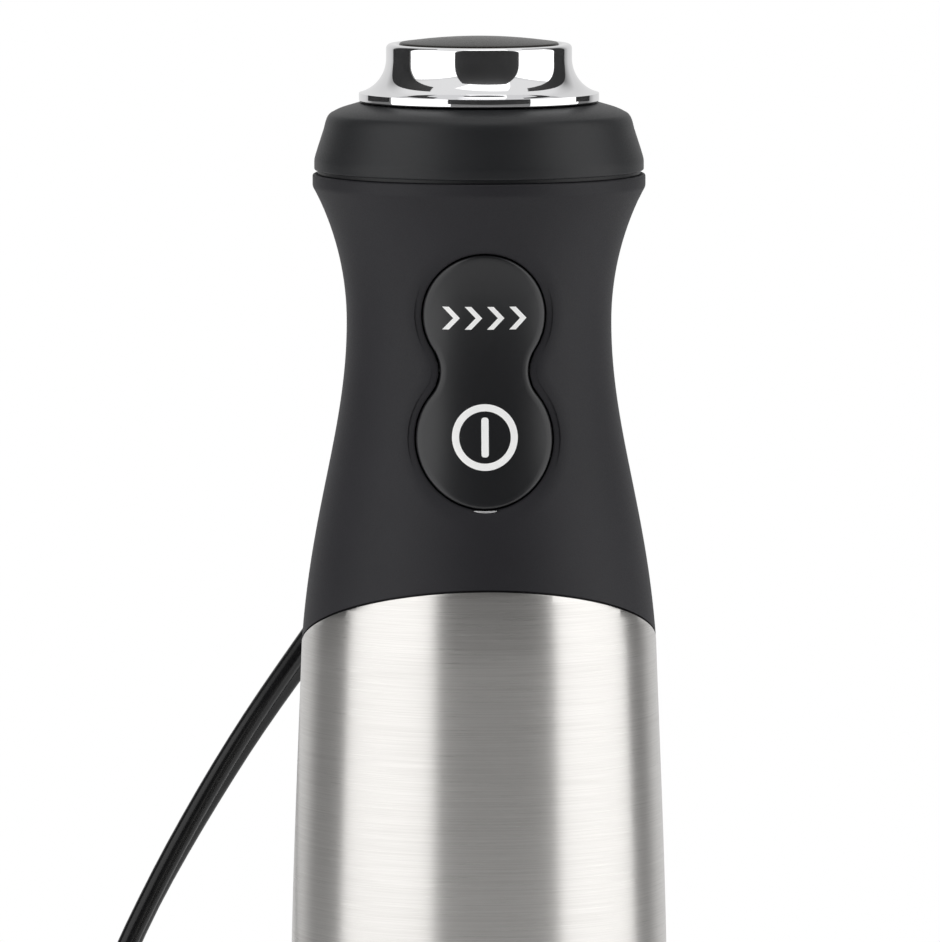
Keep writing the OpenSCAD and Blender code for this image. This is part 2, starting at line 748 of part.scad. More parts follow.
dog_r = 4.2;
dog_low_z = sleeve_z - 14;
module drive_dog() {
    color("gray") difference() {
        translate([0, 0, dog_low_z]) cylinder(r = dog_r, h = 11.5, $fn = 6);
        translate([0, 0, shaft_low_z]) cylinder(r = shaft_r, h = 20);
    }
}

// Wand

wand_top_z = socket_top_z - 0.5;
collar_low_z = socket_z - 22.2;
tube_low_z = 66;
cup_z = dog_low_z - 8;
cup_top_z = dog_low_z + 7.5;
cup_r = 7.6;
rod_r = 2.5;
module wand_collar() {
    outer = curve([skirt_r - 0.2, socket_z - seam], [skirt_r - 1.4, socket_z - 8],
        [tube_r + 2.5, socket_z - 14], [tube_r + 1, collar_low_z], 8);
    color("black") difference() {
        rotate_extrude() polygon(concat([[tube_r, collar_low_z]], reversed(outer),
            [[plug_r, socket_z - seam], [plug_r, latch_z - 1.2], [plug_r - 0.9, latch_z - 1],
            [plug_r - 0.9, latch_z + 1], [plug_r, latch_z + 1.2], [plug_r, wand_top_z - 1.5],
            [plug_r - 1.5, wand_top_z], [cup_r + 1, wand_top_z], [cup_r + 1, cup_z - 1],
            [rod_r + 2.4, cup_z - 1], [rod_r + 2.4, cup_z - 4], [tube_r, cup_z - 4]]));
    }
}

module wand_tube() {
    color([0.8, 0.79, 0.77]) rotate_extrude() polygon([[neck_r, tube_low_z], [tube_r, cup_z - 4],
        [tube_r - wand_wall, cup_z - 4], [neck_r - wand_wall, tube_low_z]]);
}

// Outline of the bell: neck, swept shoulder, straight skirt
skirt_h = 20;
bell_outline = concat([[neck_r, tube_low_z]],
    curve([neck_r, tube_low_z - 4], [neck_r, tube_low_z - 22], [bell_r, skirt_h + 26],
        [bell_r, skirt_h], 14));
module bell_form(d) {
    rotate_extrude() polygon(concat([[0, tube_low_z + (d > 0 ? 1 : 0)]],
        d > 0 ? [[neck_r - d, tube_low_z + 1]] : [],
        inset(bell_outline, d), [[bell_r - d, d > 0 ? -1 : 0], [0, d > 0 ? -1 : 0]]));
}

notch_angles = [0, 90, 180, 270];
module bell_guard() {
    color([0.8, 0.79, 0.77]) difference() {
        bell_form(0);
        bell_form(wand_wall);
        for (a = notch_angles) rotate(a) {
            box([bell_r - 8, -notch_w / 2, -1], [bell_r + 8, notch_w / 2, notch_h - 3]);
            box([bell_r - 8, -notch_w / 2 + 3, -1], [bell_r + 8, notch_w / 2 - 3, notch_h]);
            for (s = [-1, 1]) translate([bell_r - 8, s * (notch_w / 2 - 3), notch_h - 3]) rotate([0, 90, 0])
                cylinder(r = 3, h = 16, $fn = 32);
        }
    }
}

blade_z = 10;
module drive_shaft() {
    color("gainsboro") translate([0, 0, blade_z - 3]) cylinder(r = rod_r, h = cup_z + 4 - blade_z + 3);
}

module shaft_coupling() {
    color([0.2, 0.2, 0.22]) difference() {
        translate([0, 0, cup_z]) cylinder(r = cup_r, h = cup_top_z - cup_z);
        translate([0, 0, dog_low_z - 3]) cylinder(r = dog_r + 0.45, h = far, $fn = 6);
        translate([0, 0, cup_z - 1]) cylinder(r = rod_r, h = 5);
    }
}

seal_z = 44;
module wand_bush() {
    bush_z = tube_low_z - 6;
    color([0.6, 0.5, 0.3]) union() {
        tube(neck_r - wand_wall, rod_r + run_fit, tube_low_z + 8, tube_low_z + 20);
        tube(7, rod_r + run_fit, bush_z - 14, tube_low_z + 8);
    }
}

module shaft_seal() {
    color([0.15, 0.15, 0.15]) tube(6.2, rod_r + run_fit, seal_z, tube_low_z - 20);
}

// Two-armed blade bent from one strip: one arm rises and one dips, cut to a round span
blade_t = 1.4;
module blade() {
    top_line = [[-blade_span / 2, blade_z - 1.6], [-10, blade_z], [9, blade_z],
        [blade_span / 2, blade_z + 5]];
    color("silver") difference() {
        union() {
            intersection() {
                translate([0, 4, 0]) rotate([90, 0, 0]) linear_extrude(8)
                    polygon(concat(top_line, [for (i = [3:-1:0]) top_line[i] + [0, blade_t]]));
                translate([0, 0, blade_z - 8]) cylinder(r = blade_span / 2 - 0.3, h = 30);
            }
            translate([0, 0, blade_z - 0.2]) cylinder(r = 6, h = 2.2);
            translate([0, 0, blade_z]) cylinder(r = 4.4, h = 7);
        }
        translate([0, 0, blade_z - 10]) cylinder(r = rod_r, h = 30);
    }
}

// Cord: relief, lead down to the floor, coil, and the plug lying on the coil

lead_r = sqrt(cord_w * cord_t) / 2;
module relief_form() {
    rotate_extrude() polygon([[0, -4], [6, -4], [6, -2.6], [4.2, -2.6], [4.2, 1.4], [6.2, 1.6],
        [6.2, 4], [5, 6], [3.7, relief_l - 1], [3.4, relief_l], [0, relief_l]]);
}

module strain_relief() {
    color([0.1, 0.1, 0.1]) along_relief() relief_form();
}

tip = [0, relief_y + relief_l * cos(relief_tilt), relief_z - relief_l * sin(relief_tilt)];
lead_route = [tip, [0, 62, 339], [-2, 69, 331.5], [-4.5, 73, 322.5], [-9, 75, 312.5],
    [-16.2, 73.5, 301.2], [-24.5, 70, 289.8], [-33, 66, 278.6], [-41, 62.6, 267.6], [-50, 60, 253],
    [-58, 58, 239], [-65, 55, 224], [-72, 51, 207], [-79, 47, 188], [-85, 43, 168], [-90, 39, 148],
        [-94, 36, 128],
    [-98, 33, 108], [-101.5, 31, 88], [-104.5, 29, 68], [-106.5, 28.5, 50], [-107.5, 29.5, 37],
    [-107.8, 32, 26], [-108, 37, 16], [-107.5, 44, 8.5], [-107, 52, 4.4], [-106, 60, 3],
    [-103.5, 71, 2.6], [-98, 82, 2.6], [-90, 91.5, 2.6]];
coil_mid = [-58, 60];
coil_turn_r = 42;
coil_pitch = cord_w + 0.6;
tie_t = 0.8;
coil_h = 2 * cord_t + 0.2;

function unit(v) = v / norm(v);
function heading(p, i) = unit(p[min(i + 1, len(p) - 1)] - p[max(i - 1, 0)]);
function ring(p, i, r, n, side) = let (t = heading(p, i), u = unit(cross(t, side)), v = cross(u, t))
    [for (k = [0:n - 1]) p[i] + r * cos(360 * k / n) * u + r * sin(360 * k / n) * v];

// A tube of n sides along the points p; side is a direction that p never runs along
module swept_tube(p, r, n, side) {
    last = len(p) - 1;
    points = [for (i = [0:last]) for (q = ring(p, i, r, n, side)) q];
    sides = [for (i = [0:last - 1]) for (k = [0:n - 1])
        [i * n + k, i * n + (k + 1) % n, (i + 1) * n + (k + 1) % n, (i + 1) * n + k]];
    polyhedron(points, concat(sides, [[for (k = [n - 1:-1:0]) k], [for (k = [0:n - 1]) last * n + k]]));
}

module cord_lead() {
    color([0.08, 0.08, 0.08]) swept_tube(lead_route, lead_r, 10, [1, 0, 0]);
}

module cord_coil() {
    color([0.08, 0.08, 0.08]) translate([coil_mid[0], coil_mid[1], tie_t]) rotate_extrude()
        translate([coil_turn_r - 2 * coil_pitch - cord_w / 2, 0]) square([2 * coil_pitch + cord_w, coil_h]);
}

tail_route = [[-98.5, 71, 6.5], [-95.5, 78, 7], [-91, 84, 8.6], [-85, 89, 10.9], [-77.5, 92, 13.2],
    [-69.5, 93, 14.4], [-62, 93, 14.7]];
module cord_tail() {
    color([0.08, 0.08, 0.08]) swept_tube(tail_route, lead_r, 10, [0, 0, 1]);
}

// A flat strap round one side of the coil, with the lowest face on the floor
module cord_tie() {
    tie_in_r = coil_turn_r - 2 * coil_pitch - cord_w / 2;
    tie_out_r = coil_turn_r + cord_w / 2;
    color("black") translate([coil_mid[0], coil_mid[1], 0]) rotate(-20) difference() {
        box([tie_in_r - tie_t, -3, 0], [tie_out_r + tie_t, 3, coil_h + 2 * tie_t]);
        box([tie_in_r, -4, tie_t], [tie_out_r, 4, coil_h + tie_t]);
    }
}

// Plug body and pins lie along +X across the coil's far side
plug_l = 30;
plug_w = 24;
plug_h = 13;
plug_x = coil_mid[0] - 4;
plug_y = coil_mid[1] + coil_turn_r - 9;
plug_z = tie_t + coil_h + plug_h / 2;
module cord_plug() {
    color([0.09, 0.09, 0.09]) union() {
        hull() {
            box([plug_x, plug_y - 5, plug_z - 4], [plug_x + 2, plug_y + 5, plug_z + 4]);
            box([plug_x + 12, plug_y - plug_w / 2, plug_z - plug_h / 2], [plug_x + plug_l,
                plug_y + plug_w / 2, plug_z + plug_h / 2]);
        }
        for (s = [-1, 1]) box([plug_x + plug_l - 1, plug_y + s * 6.35 - 0.75, plug_z - 3.2],
            [plug_x + plug_l + 17, plug_y + s * 6.35 + 0.75, plug_z + 3.2]);
    }
}

dial_ring();
dial_cap();
dial_hub();
pot_shaft();
top_collar();
speed_pot();
pot_nut();
grip_front();
grip_rear();
steel_sleeve();
motor_housing();
lower_collar();
collar_screws();
rocker_button();
rocker_pin();
button_seal();
on_plunger();
turbo_plunger();
switch_carrier();
switch_board();
micro_switches();
control_board();
triac();
heat_sink();
capacitor();
terminal_block();
stator_stack();
field_coils();
upper_bracket();
lower_bracket();
motor_screws();
mount_ring_upper();
mount_ring_lower();
motor_bearings();
brush_holders();
carbon_brushes();
brush_springs();
motor_shaft();
armature_core();
armature_windings();
commutator();
cooling_fan();
drive_dog();
release_button_left();
release_button_right();
latch_ring();
wand_collar();
wand_tube();
bell_guard();
drive_shaft();
shaft_coupling();
wand_bush();
shaft_seal();
blade();
strain_relief();
cord_lead();
cord_coil();
cord_tail();
cord_plug();
cord_tie();
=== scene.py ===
import bisect
import math
import bmesh
import bpy
from mathutils import Matrix, Vector


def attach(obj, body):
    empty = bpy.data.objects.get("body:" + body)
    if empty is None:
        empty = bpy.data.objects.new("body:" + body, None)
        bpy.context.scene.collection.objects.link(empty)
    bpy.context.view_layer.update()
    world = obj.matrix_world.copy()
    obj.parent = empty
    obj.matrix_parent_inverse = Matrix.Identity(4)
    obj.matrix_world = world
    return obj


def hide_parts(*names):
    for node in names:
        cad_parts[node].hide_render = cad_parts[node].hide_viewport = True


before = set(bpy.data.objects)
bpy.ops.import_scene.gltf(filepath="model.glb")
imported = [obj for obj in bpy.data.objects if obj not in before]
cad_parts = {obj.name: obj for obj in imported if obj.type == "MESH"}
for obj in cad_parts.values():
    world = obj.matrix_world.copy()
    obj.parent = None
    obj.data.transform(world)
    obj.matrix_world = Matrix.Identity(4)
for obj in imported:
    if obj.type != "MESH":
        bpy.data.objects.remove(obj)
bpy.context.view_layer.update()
scene = bpy.context.scene
mm = 0.001
turn = 2 * math.pi
tiny = 1e-7
print("frame loaded")

# Camera

cameraSetup = {"leftDegrees": 2.4, "distance": 2.0, "height": 0.512, "aimHeight": 0.323, "lens": 434.6,
               "shift": -0.0096}


def placeAround(distance, degrees, height):
    # degrees run from the front towards +x
    angle = math.radians(degrees)
    return (distance * math.sin(angle), -distance * math.cos(angle), height)


def aim(thing, target):
    thing.rotation_euler = (Vector(target) - thing.location).to_track_quat("-Z", "Y").to_euler()


def makeCamera(setup):
    data = bpy.data.cameras.new("camera")
    data.lens = setup["lens"]
    data.sensor_width = 36
    data.sensor_fit = "HORIZONTAL"
    data.shift_x = setup["shift"]
    data.clip_start = 0.01
    data.clip_end = 50
    camera = bpy.data.objects.new("camera", data)
    scene.collection.objects.link(camera)
    camera.location = placeAround(setup["distance"], -setup["leftDegrees"], setup["height"])
    aim(camera, (0, 0, setup["aimHeight"]))
    scene.camera = camera


makeCamera(cameraSetup)
print("camera placed")

# Materials: each is a pattern on the piece's own place, with roughness and relief


def addNode(tree, kind, **values):
    node = tree.nodes.new(kind)
    for key, value in values.items():
        if key in node.inputs:
            node.inputs[key].default_value = value
        else:
            setattr(node, key, value)
    return node


def patternNodes(tree, scale, noiseScale, detail):
    place = addNode(tree, "ShaderNodeTexCoord")
    stretch = addNode(tree, "ShaderNodeMapping", Scale=scale)
    noise = addNode(tree, "ShaderNodeTexNoise", Scale=noiseScale, Detail=detail)
    tree.links.new(place.outputs["Object"], stretch.inputs["Vector"])
    tree.links.new(stretch.outputs["Vector"], noise.inputs["Vector"])
    return noise.outputs["Fac"]


def mapRange(tree, source, fromRange, toRange=(0, 1), **values):
    node = addNode(tree, "ShaderNodeMapRange", **values)
    for key, value in zip(("From Min", "From Max", "To Min", "To Max"), (*fromRange, *toRange)):
        node.inputs[key].default_value = value
    tree.links.new(source, node.inputs["Value"])
    return node.outputs["Result"]


def addRamp(tree, source, stops):
    node = addNode(tree, "ShaderNodeValToRGB")
    elements = node.color_ramp.elements
    elements[0].position = stops[0][0]
    elements[1].position = stops[-1][0]
    for position, _ in stops[1:-1]:
        elements.new(position)
    for element, (_, shade) in zip(elements, stops):
        element.color = (*colour(shade), 1)
    tree.links.new(source, node.inputs["Fac"])
    return node.outputs["Color"]


# the middle of a noise pattern's values, spread over a finish's whole range
noiseRange = (0.3, 0.7)
usualFinish = {"metal": 0, "specular": 0.5, "streak": 0, "stretch": (1, 1, 1), "patch": 90, "grain": 900,
               "relief": 0.1, "depth": 0.00004}


def colour(value):
    return value if isinstance(value, tuple) else (value, value, value)


def makeMaterial(name, special):
    finish = {**usualFinish, **special}
    material = bpy.data.materials.new(name)
    material.use_nodes = True
    tree = material.node_tree
    join = tree.links.new
    shader = tree.nodes["Principled BSDF"]
    shader.inputs["Metallic"].default_value = finish["metal"]
    shader.inputs["Specular IOR Level"].default_value = finish["specular"]
    shader.inputs["Anisotropic"].default_value = finish["streak"]
    if finish["streak"]:
        shader.inputs["Anisotropic Rotation"].default_value = 0.25
        around = addNode(tree, "ShaderNodeTangent", direction_type="RADIAL", axis="Z")
        join(around.outputs["Tangent"], shader.inputs["Tangent"])
    # broad mottling drives the colour
    broad = patternNodes(tree, finish["stretch"], finish["patch"], 4)
    tint = addRamp(tree, broad, tuple(zip(noiseRange, (finish["dark"], finish["light"]))))
    # fine grain drives the roughness and makes the relief
    fine = patternNodes(tree, finish.get("grainStretch", finish["stretch"]), finish["grain"], 6)
    join(mapRange(tree, fine, noiseRange, finish["roughness"]), shader.inputs["Roughness"])
    height = fine
    if "ridges" in finish:
        pitch, axis, shade = finish["ridges"]
        place = addNode(tree, "ShaderNodeTexCoord")
        wave = addNode(tree, "ShaderNodeTexWave", Scale=turn / (20 * pitch), bands_direction=axis)
        join(place.outputs["Object"], wave.inputs["Vector"])
        mix = addNode(tree, "ShaderNodeMix", data_type="RGBA")
        mix.inputs[7].default_value = (*shade, 1)
        join(wave.outputs["Fac"], mix.inputs[0])
        join(tint, mix.inputs[6])
        tint = mix.outputs[2]
        height = wave.outputs["Fac"]
    join(tint, shader.inputs["Base Color"])
    bump = addNode(tree, "ShaderNodeBump", Strength=finish["relief"], Distance=finish["depth"])
    join(height, bump.inputs["Height"])
    join(bump.outputs["Normal"], shader.inputs["Normal"])
    return material


finishes = {
    "chrome_trim": {"dark": (0.8, 0.8, 0.81), "light": (0.86, 0.86, 0.87), "metal": 1, "patch": 40,
                    "roughness": (0.02, 0.05), "relief": 0.01, "depth": 0.0001},
    "soft_touch_black": {"dark": (0.0098, 0.0094, 0.0122), "light": (0.0122, 0.0116, 0.015), "patch": 60,
                         "grain": 5200, "roughness": (0.52, 0.66), "relief": 0.22, "depth": 0.00006,
                         "specular": 0.36},
    "gloss_black": {"dark": (0.0098, 0.01, 0.0112), "light": (0.0122, 0.0124, 0.014), "patch": 70,
                    "grain": 3800, "roughness": (0.28, 0.37), "specular": 0.52},
    "collar_black": {"dark": (0.0088, 0.0094, 0.0108), "light": (0.011, 0.0116, 0.0134), "patch": 60,
                     "grain": 4200, "roughness": (0.42, 0.54), "relief": 0.16, "depth": 0.00005,
                     "specular": 0.38},
    "brushed_steel": {"dark": (0.6, 0.585, 0.565), "light": (0.7, 0.685, 0.665), "metal": 1, "patch": 9,
                      "stretch": (5, 5, 900), "grain": 12, "grainStretch": (6, 6, 1800),
                      "roughness": (0.26, 0.4), "depth": 0.00002, "streak": 0.8},
    "housing_grey": {"dark": (0.07, 0.07, 0.078), "light": (0.095, 0.095, 0.105), "patch": 70,
                     "grain": 1800, "roughness": (0.5, 0.65), "relief": 0.2, "depth": 0.0001},
    "bright_steel": {"dark": 0.52, "light": 0.64, "metal": 1, "patch": 30, "stretch": (1, 1, 14),
                     "grain": 300, "roughness": (0.2, 0.34), "relief": 0.03},
    "blade_steel": {"dark": 0.56, "light": 0.68, "metal": 1, "patch": 40, "stretch": (1, 30, 1),
                    "grain": 260, "roughness": (0.14, 0.28), "relief": 0.08},
    "brass": {"dark": (0.62, 0.42, 0.15), "light": (0.74, 0.54, 0.22), "metal": 1, "grain": 700,
              "roughness": (0.24, 0.38), "relief": 0.06},
    "copper": {"dark": (0.5, 0.2, 0.08), "light": (0.72, 0.34, 0.16), "metal": 1, "patch": 160,
               "roughness": (0.25, 0.38), "relief": 0.5, "depth": 0.0002,
               "ridges": (0.0006, "Z", (0.36, 0.13, 0.05))},
    "lamination": {"dark": (0.26, 0.26, 0.28), "light": (0.36, 0.36, 0.38), "metal": 1, "patch": 120,
                   "grain": 700, "roughness": (0.4, 0.55), "relief": 0.5, "depth": 0.0001,
                   "ridges": (0.0007, "Z", (0.1, 0.1, 0.11))},
    "rubber": {"dark": (0.013, 0.013, 0.0135), "light": (0.018, 0.018, 0.0185), "grain": 2600,
               "roughness": (0.5, 0.64), "relief": 0.2, "depth": 0.00008},
    "circuit_board": {"dark": (0.012, 0.1, 0.045), "light": (0.02, 0.17, 0.08), "patch": 260, "grain": 1200,
                      "roughness": (0.3, 0.45), "depth": 0.00005,
                      "ridges": (0.0025, "X", (0.03, 0.22, 0.1))},
    "component": {"dark": (0.2, 0.13, 0.03), "light": (0.28, 0.19, 0.05), "grain": 1400,
                  "roughness": (0.25, 0.4), "depth": 0.00005},
    "heat_sink_alloy": {"dark": (0.55, 0.55, 0.56), "light": (0.66, 0.66, 0.67), "metal": 1, "patch": 60,
                        "stretch": (1, 1, 20), "roughness": (0.3, 0.45), "depth": 0.00005},
    "carbon": {"dark": 0.02, "light": 0.045, "patch": 400, "grain": 2400, "roughness": (0.5, 0.7),
               "relief": 0.3, "depth": 0.00008},
    "cord_black": {"dark": (0.006, 0.006, 0.0064), "light": (0.0085, 0.0085, 0.009), "patch": 60,
                   "grain": 1500, "roughness": (0.19, 0.28), "relief": 0.05, "specular": 0.3},
    "capShade": {"dark": (0.02, 0.0185, 0.0165), "light": (0.026, 0.024, 0.0215), "patch": 50,
                 "grain": 3000, "roughness": (0.24, 0.34), "relief": 0.08, "specular": 0.06},
    "blackenedPin": {"dark": 0.02, "light": 0.03, "metal": 1, "roughness": (0.4, 0.5)},
    "printWhite": {"dark": (0.93, 0.93, 0.92), "light": (0.97, 0.97, 0.96), "patch": 120, "grain": 3000,
                   "roughness": (0.4, 0.5), "depth": 0.00003},
}
materials = {name: makeMaterial(name, finish) for name, finish in finishes.items()}
print("materials made", len(materials))

# Shared mesh helpers


def newObject(name, bm):
    mesh = bpy.data.meshes.new(name)
    bm.to_mesh(mesh)
    bm.free()
    thing = bpy.data.objects.new(name, mesh)
    scene.collection.objects.link(thing)
    return thing


def toMesh(name, bm, finish, body, slot=None, replaces=(), orient=True, sharp=38):
    bmesh.ops.remove_doubles(bm, verts=bm.verts, dist=tiny)
    if orient:
        bmesh.ops.recalc_face_normals(bm, faces=bm.faces)
    piece = newObject(name, bm)
    for polygon in piece.data.polygons:
        polygon.use_smooth = True
    piece.data.set_sharp_from_angle(angle=math.radians(sharp))
    piece.data.materials.append(materials[finish])
    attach(piece, body)
    if replaces:
        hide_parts(*replaces)
    return piece


def thicken(piece, thickness):
    wall = piece.modifiers.new("wall", "SOLIDIFY")
    wall.thickness = thickness * mm
    wall.offset = -1


def openSkin(name, bm, finish, body, node, wall, middle=None, **options):
    # only the outer side is made here, and the wall's thickness comes from a solidify
    faceOut(bm, middle)
    piece = toMesh(name, bm, finish, body, replaces=(node,), orient=False, **options)
    thicken(piece, wall)
    return piece


def roundEdges(piece, width, sharpness):
    rounding = piece.modifiers.new("edges", "BEVEL")
    rounding.width = width * mm
    rounding.segments = 2
    rounding.limit_method = "ANGLE"
    rounding.angle_limit = math.radians(sharpness)


def bevelEdges(bm, edges, width, segments=3):
    bmesh.ops.bevel(bm, geom=edges, offset=width * mm, offset_type="OFFSET", affect="EDGES",
                    segments=segments, profile=0.5, material=-1)


def addBlock(bm, size, middle):
    made = bmesh.ops.create_cube(bm, size=1)["verts"]
    bmesh.ops.scale(bm, vec=Vector(size) * mm, verts=made)
    bmesh.ops.translate(bm, vec=Vector(middle) * mm, verts=made)


def bezier(p0, p1, p2, p3, count):
    points = []
    for i in range(count + 1):
        t = i / count
        points.append(tuple(a * (1 - t) ** 3 + 3 * b * t * (1 - t) ** 2 + 3 * c * t * t * (1 - t) + d * t ** 3
                            for a, b, c, d in zip(p0, p1, p2, p3)))
    return points


def arc(centre, radius, start, end, count):
    angles = [math.radians(start + (end - start) * i / count) for i in range(count + 1)]
    return [(centre[0] + radius * math.cos(a), centre[1] + radius * math.sin(a)) for a in angles]


def softCorners(points, closed=True, steps=4):
    # a point with a third value is rounded by about that much
    out = []
    last = len(points)
    for i, point in enumerate(points):
        radius = point[2] if len(point) > 2 else 0
        if not radius or (not closed and i in (0, last - 1)):
            out.append(point[:2])
            continue
        here = Vector(point[:2])
        back = Vector(points[i - 1][:2]) - here
        ahead = Vector(points[(i + 1) % last][:2]) - here
        a = here + back.normalized() * min(radius, back.length * 0.48)
        b = here + ahead.normalized() * min(radius, ahead.length * 0.48)
        for k in range(steps + 1):
            t = k / steps
            out.append(tuple(a * (1 - t) ** 2 + here * 2 * t * (1 - t) + b * t * t))
    return out


def spunProfile(bm, points, closed=True, start=0.0, sweep=turn, steps=160):
    verts = [bm.verts.new(Vector((r * math.sin(start), -r * math.cos(start), z)) * mm) for r, z in points]
    ends = zip(verts, verts[1:] + verts[:1]) if closed else zip(verts, verts[1:])
    edges = [bm.edges.new(pair) for pair in ends]
    bmesh.ops.spin(bm, geom=verts + edges, axis=(0, 0, 1), cent=(0, 0, 0), steps=steps, angle=sweep,
                   use_merge=sweep > turn - 0.001)
    bmesh.ops.remove_doubles(bm, verts=bm.verts, dist=tiny)


def faceOut(bm, middle=None):
    # an open skin: its faces look away from the middle, or from the handle's axis
    bmesh.ops.recalc_face_normals(bm, faces=bm.faces)
    score = 0
    for face in bm.faces:
        place = face.calc_center_median()
        inside = middle or Vector((0, 0, place.z))
        score += (place - inside).dot(face.normal) * face.calc_area()
    if score < 0:
        bmesh.ops.reverse_faces(bm, faces=bm.faces)


def turnedPiece(name, line, finish, body, closed=True, steps=200, **options):
    bm = bmesh.new()
    spunProfile(bm, softCorners(line, closed), closed, steps=steps)
    return toMesh(name, bm, finish, body, **options)


def vertsOf(items):
    return [item for item in items if isinstance(item, bmesh.types.BMVert)]


def loft(bm, rings, capStart=False, capEnd=False):
    # the first ring is drawn, and each next one is extruded from it and put in place
    layer = bm.verts.layers.int.get("station") or bm.verts.layers.int.new("station")
    verts = []
    for i, point in enumerate(rings[0]):
        vert = bm.verts.new(point)
        vert[layer] = i
        verts.append(vert)
    first = edges = [bm.edges.new(pair) for pair in zip(verts, verts[1:] + verts[:1])]
    if capStart:
        bm.faces.new(verts)
    for ring in rings[1:]:
        made = bmesh.ops.extrude_edge_only(bm, edges=edges)["geom"]
        fresh = set(vertsOf(made))
        for vert in fresh:
            vert.co = ring[vert[layer]]
        edges = [item for item in made if isinstance(item, bmesh.types.BMEdge) and set(item.verts) <= fresh]
    if capEnd:
        bmesh.ops.edgeloop_fill(bm, edges=edges)
    return first, edges


def lookup(points):
    # radius at a height, from an outline that runs steadily down
    line = sorted((z, r) for r, z in points)

    def radiusAt(z):
        if z <= line[0][0]:
            return line[0][1]
        for (z0, r0), (z1, r1) in zip(line, line[1:]):
            if z <= z1:
                return r0 + (r1 - r0) * (z - z0) / max(z1 - z0, 1e-9)
        return line[-1][1]

    return radiusAt


# Handle outline, in millimetres

handle = {"lipRadius": 29.4, "lipHeight": 375.8, "lipFoot": 373.6, "lipInside": 26.7, "chamferRadius": 28.05,
          "chamferHeight": 371, "waistRadius": 23.4, "waistHeight": 349.7, "sleeveTopRadius": 31.4,
          "sleeveTopHeight": 293, "sleeveRadius": 33.5, "fullHeight": 220, "footHeight": 198,
          "cutHeight": 305, "cutSlope": 0.38, "seam": 0.4, "skirtHeight": 272, "skirtInset": 0.95,
          "gripWall": 1.2, "sleeveWall": 0.8, "sleeveEdge": 0.22}


def waistArc(h, count):
    dz = h["chamferHeight"] - h["waistHeight"]
    dr = h["chamferRadius"] - h["waistRadius"]
    radius = (dz * dz + dr * dr) / (2 * dr)
    heights = [h["chamferHeight"] - dz * i / count for i in range(count + 1)]
    middle = h["waistRadius"] + radius
    return [(middle - math.sqrt(radius ** 2 - (z - h["waistHeight"]) ** 2), z) for z in heights]


def handleLines(h):
    waist = (h["waistRadius"], h["waistHeight"])
    top = (h["sleeveTopRadius"], h["sleeveTopHeight"])
    full = (h["sleeveRadius"], h["fullHeight"])
    swell = bezier(waist, (waist[0], waist[1] - 19), (top[0] - 1.7, top[1] + 24), top, 38)
    barrel = bezier(top, (top[0] + 0.9, top[1] - 25), (full[0], full[1] + 25), full, 36)
    foot = bezier(full, (full[0], full[1] - 12), (full[0] - 0.4, h["footHeight"] + 5),
                  (full[0] - 1.5, h["footHeight"]), 14)
    return waistArc(h, 15), swell, barrel, foot


waistLine, swellLine, barrelLine, footLine = handleLines(handle)
handleRadius = lookup([(handle["lipRadius"], handle["lipFoot"])] + waistLine + swellLine + barrelLine
                      + footLine)


def onSurface(radiusAt, x, z, depth=0.0, around=0.0):
    # x and z as seen from the front, laid on a round wall and turned about the axis
    radius = radiusAt(z) - depth
    y = -math.sqrt(max(radius * radius - x * x, 0))
    return Vector(((x * math.cos(around) - y * math.sin(around)) * mm,
                   (x * math.sin(around) + y * math.cos(around)) * mm, z * mm))


def stamp(bm, outline, place, height, radiusAt, base, around=0.0, columns=6):
    # a low raised shape that follows a round wall; its foot is a little below the base
    sunk = 0.1
    foot = [bm.verts.new(Vector((place[0] + x, 0, place[1] + z)) * mm) for x, z in outline]
    top = vertsOf(bmesh.ops.extrude_face_region(bm, geom=[bm.faces.new(foot)])["geom"])
    for vert in top:
        vert.co.y = -height * mm
    items = foot + top
    for linked in ("link_edges", "link_faces"):
        items += dict.fromkeys(item for vert in foot + top for item in getattr(vert, linked))
    low = min(x for x, _ in outline) + place[0]
    high = max(x for x, _ in outline) + place[0]
    for i in range(1, columns):
        x = low + (high - low) * i / columns
        cut = bmesh.ops.bisect_plane(bm, geom=items, plane_co=(x * mm, 0, 0), plane_no=(1, 0, 0))
        items = list(dict.fromkeys(cut["geom"] + cut["geom_cut"]))
    for vert in vertsOf(items):
        x, lift, z = vert.co.x / mm, -vert.co.y / mm, vert.co.z / mm
        vert.co = onSurface(radiusAt, x, z, base + sunk - lift, around)


# Cord: a flat twin lead from the relief down to the floor, round the coil and up into the plug

cordSetup = {"width": 6.4, "thickness": 3.6, "coilMiddle": (-58, 60), "outerTurn": 42, "arrival": 2.9,
             "pitch": 7, "lowLayer": 2.6, "layerRise": 3.8, "turnsStart": 0.124, "turnsEnd": 5.0417,
             "coilPoints": 118, "floorZone": 20}
reliefSetup = {"base": (0, 22.8, 358), "tilt": 25, "length": 34}


def reliefTip(relief):
    tilt = math.radians(relief["tilt"])
    x, y, z = relief["base"]
    return (x, y + relief["length"] * math.cos(tilt), z - relief["length"] * math.sin(tilt))


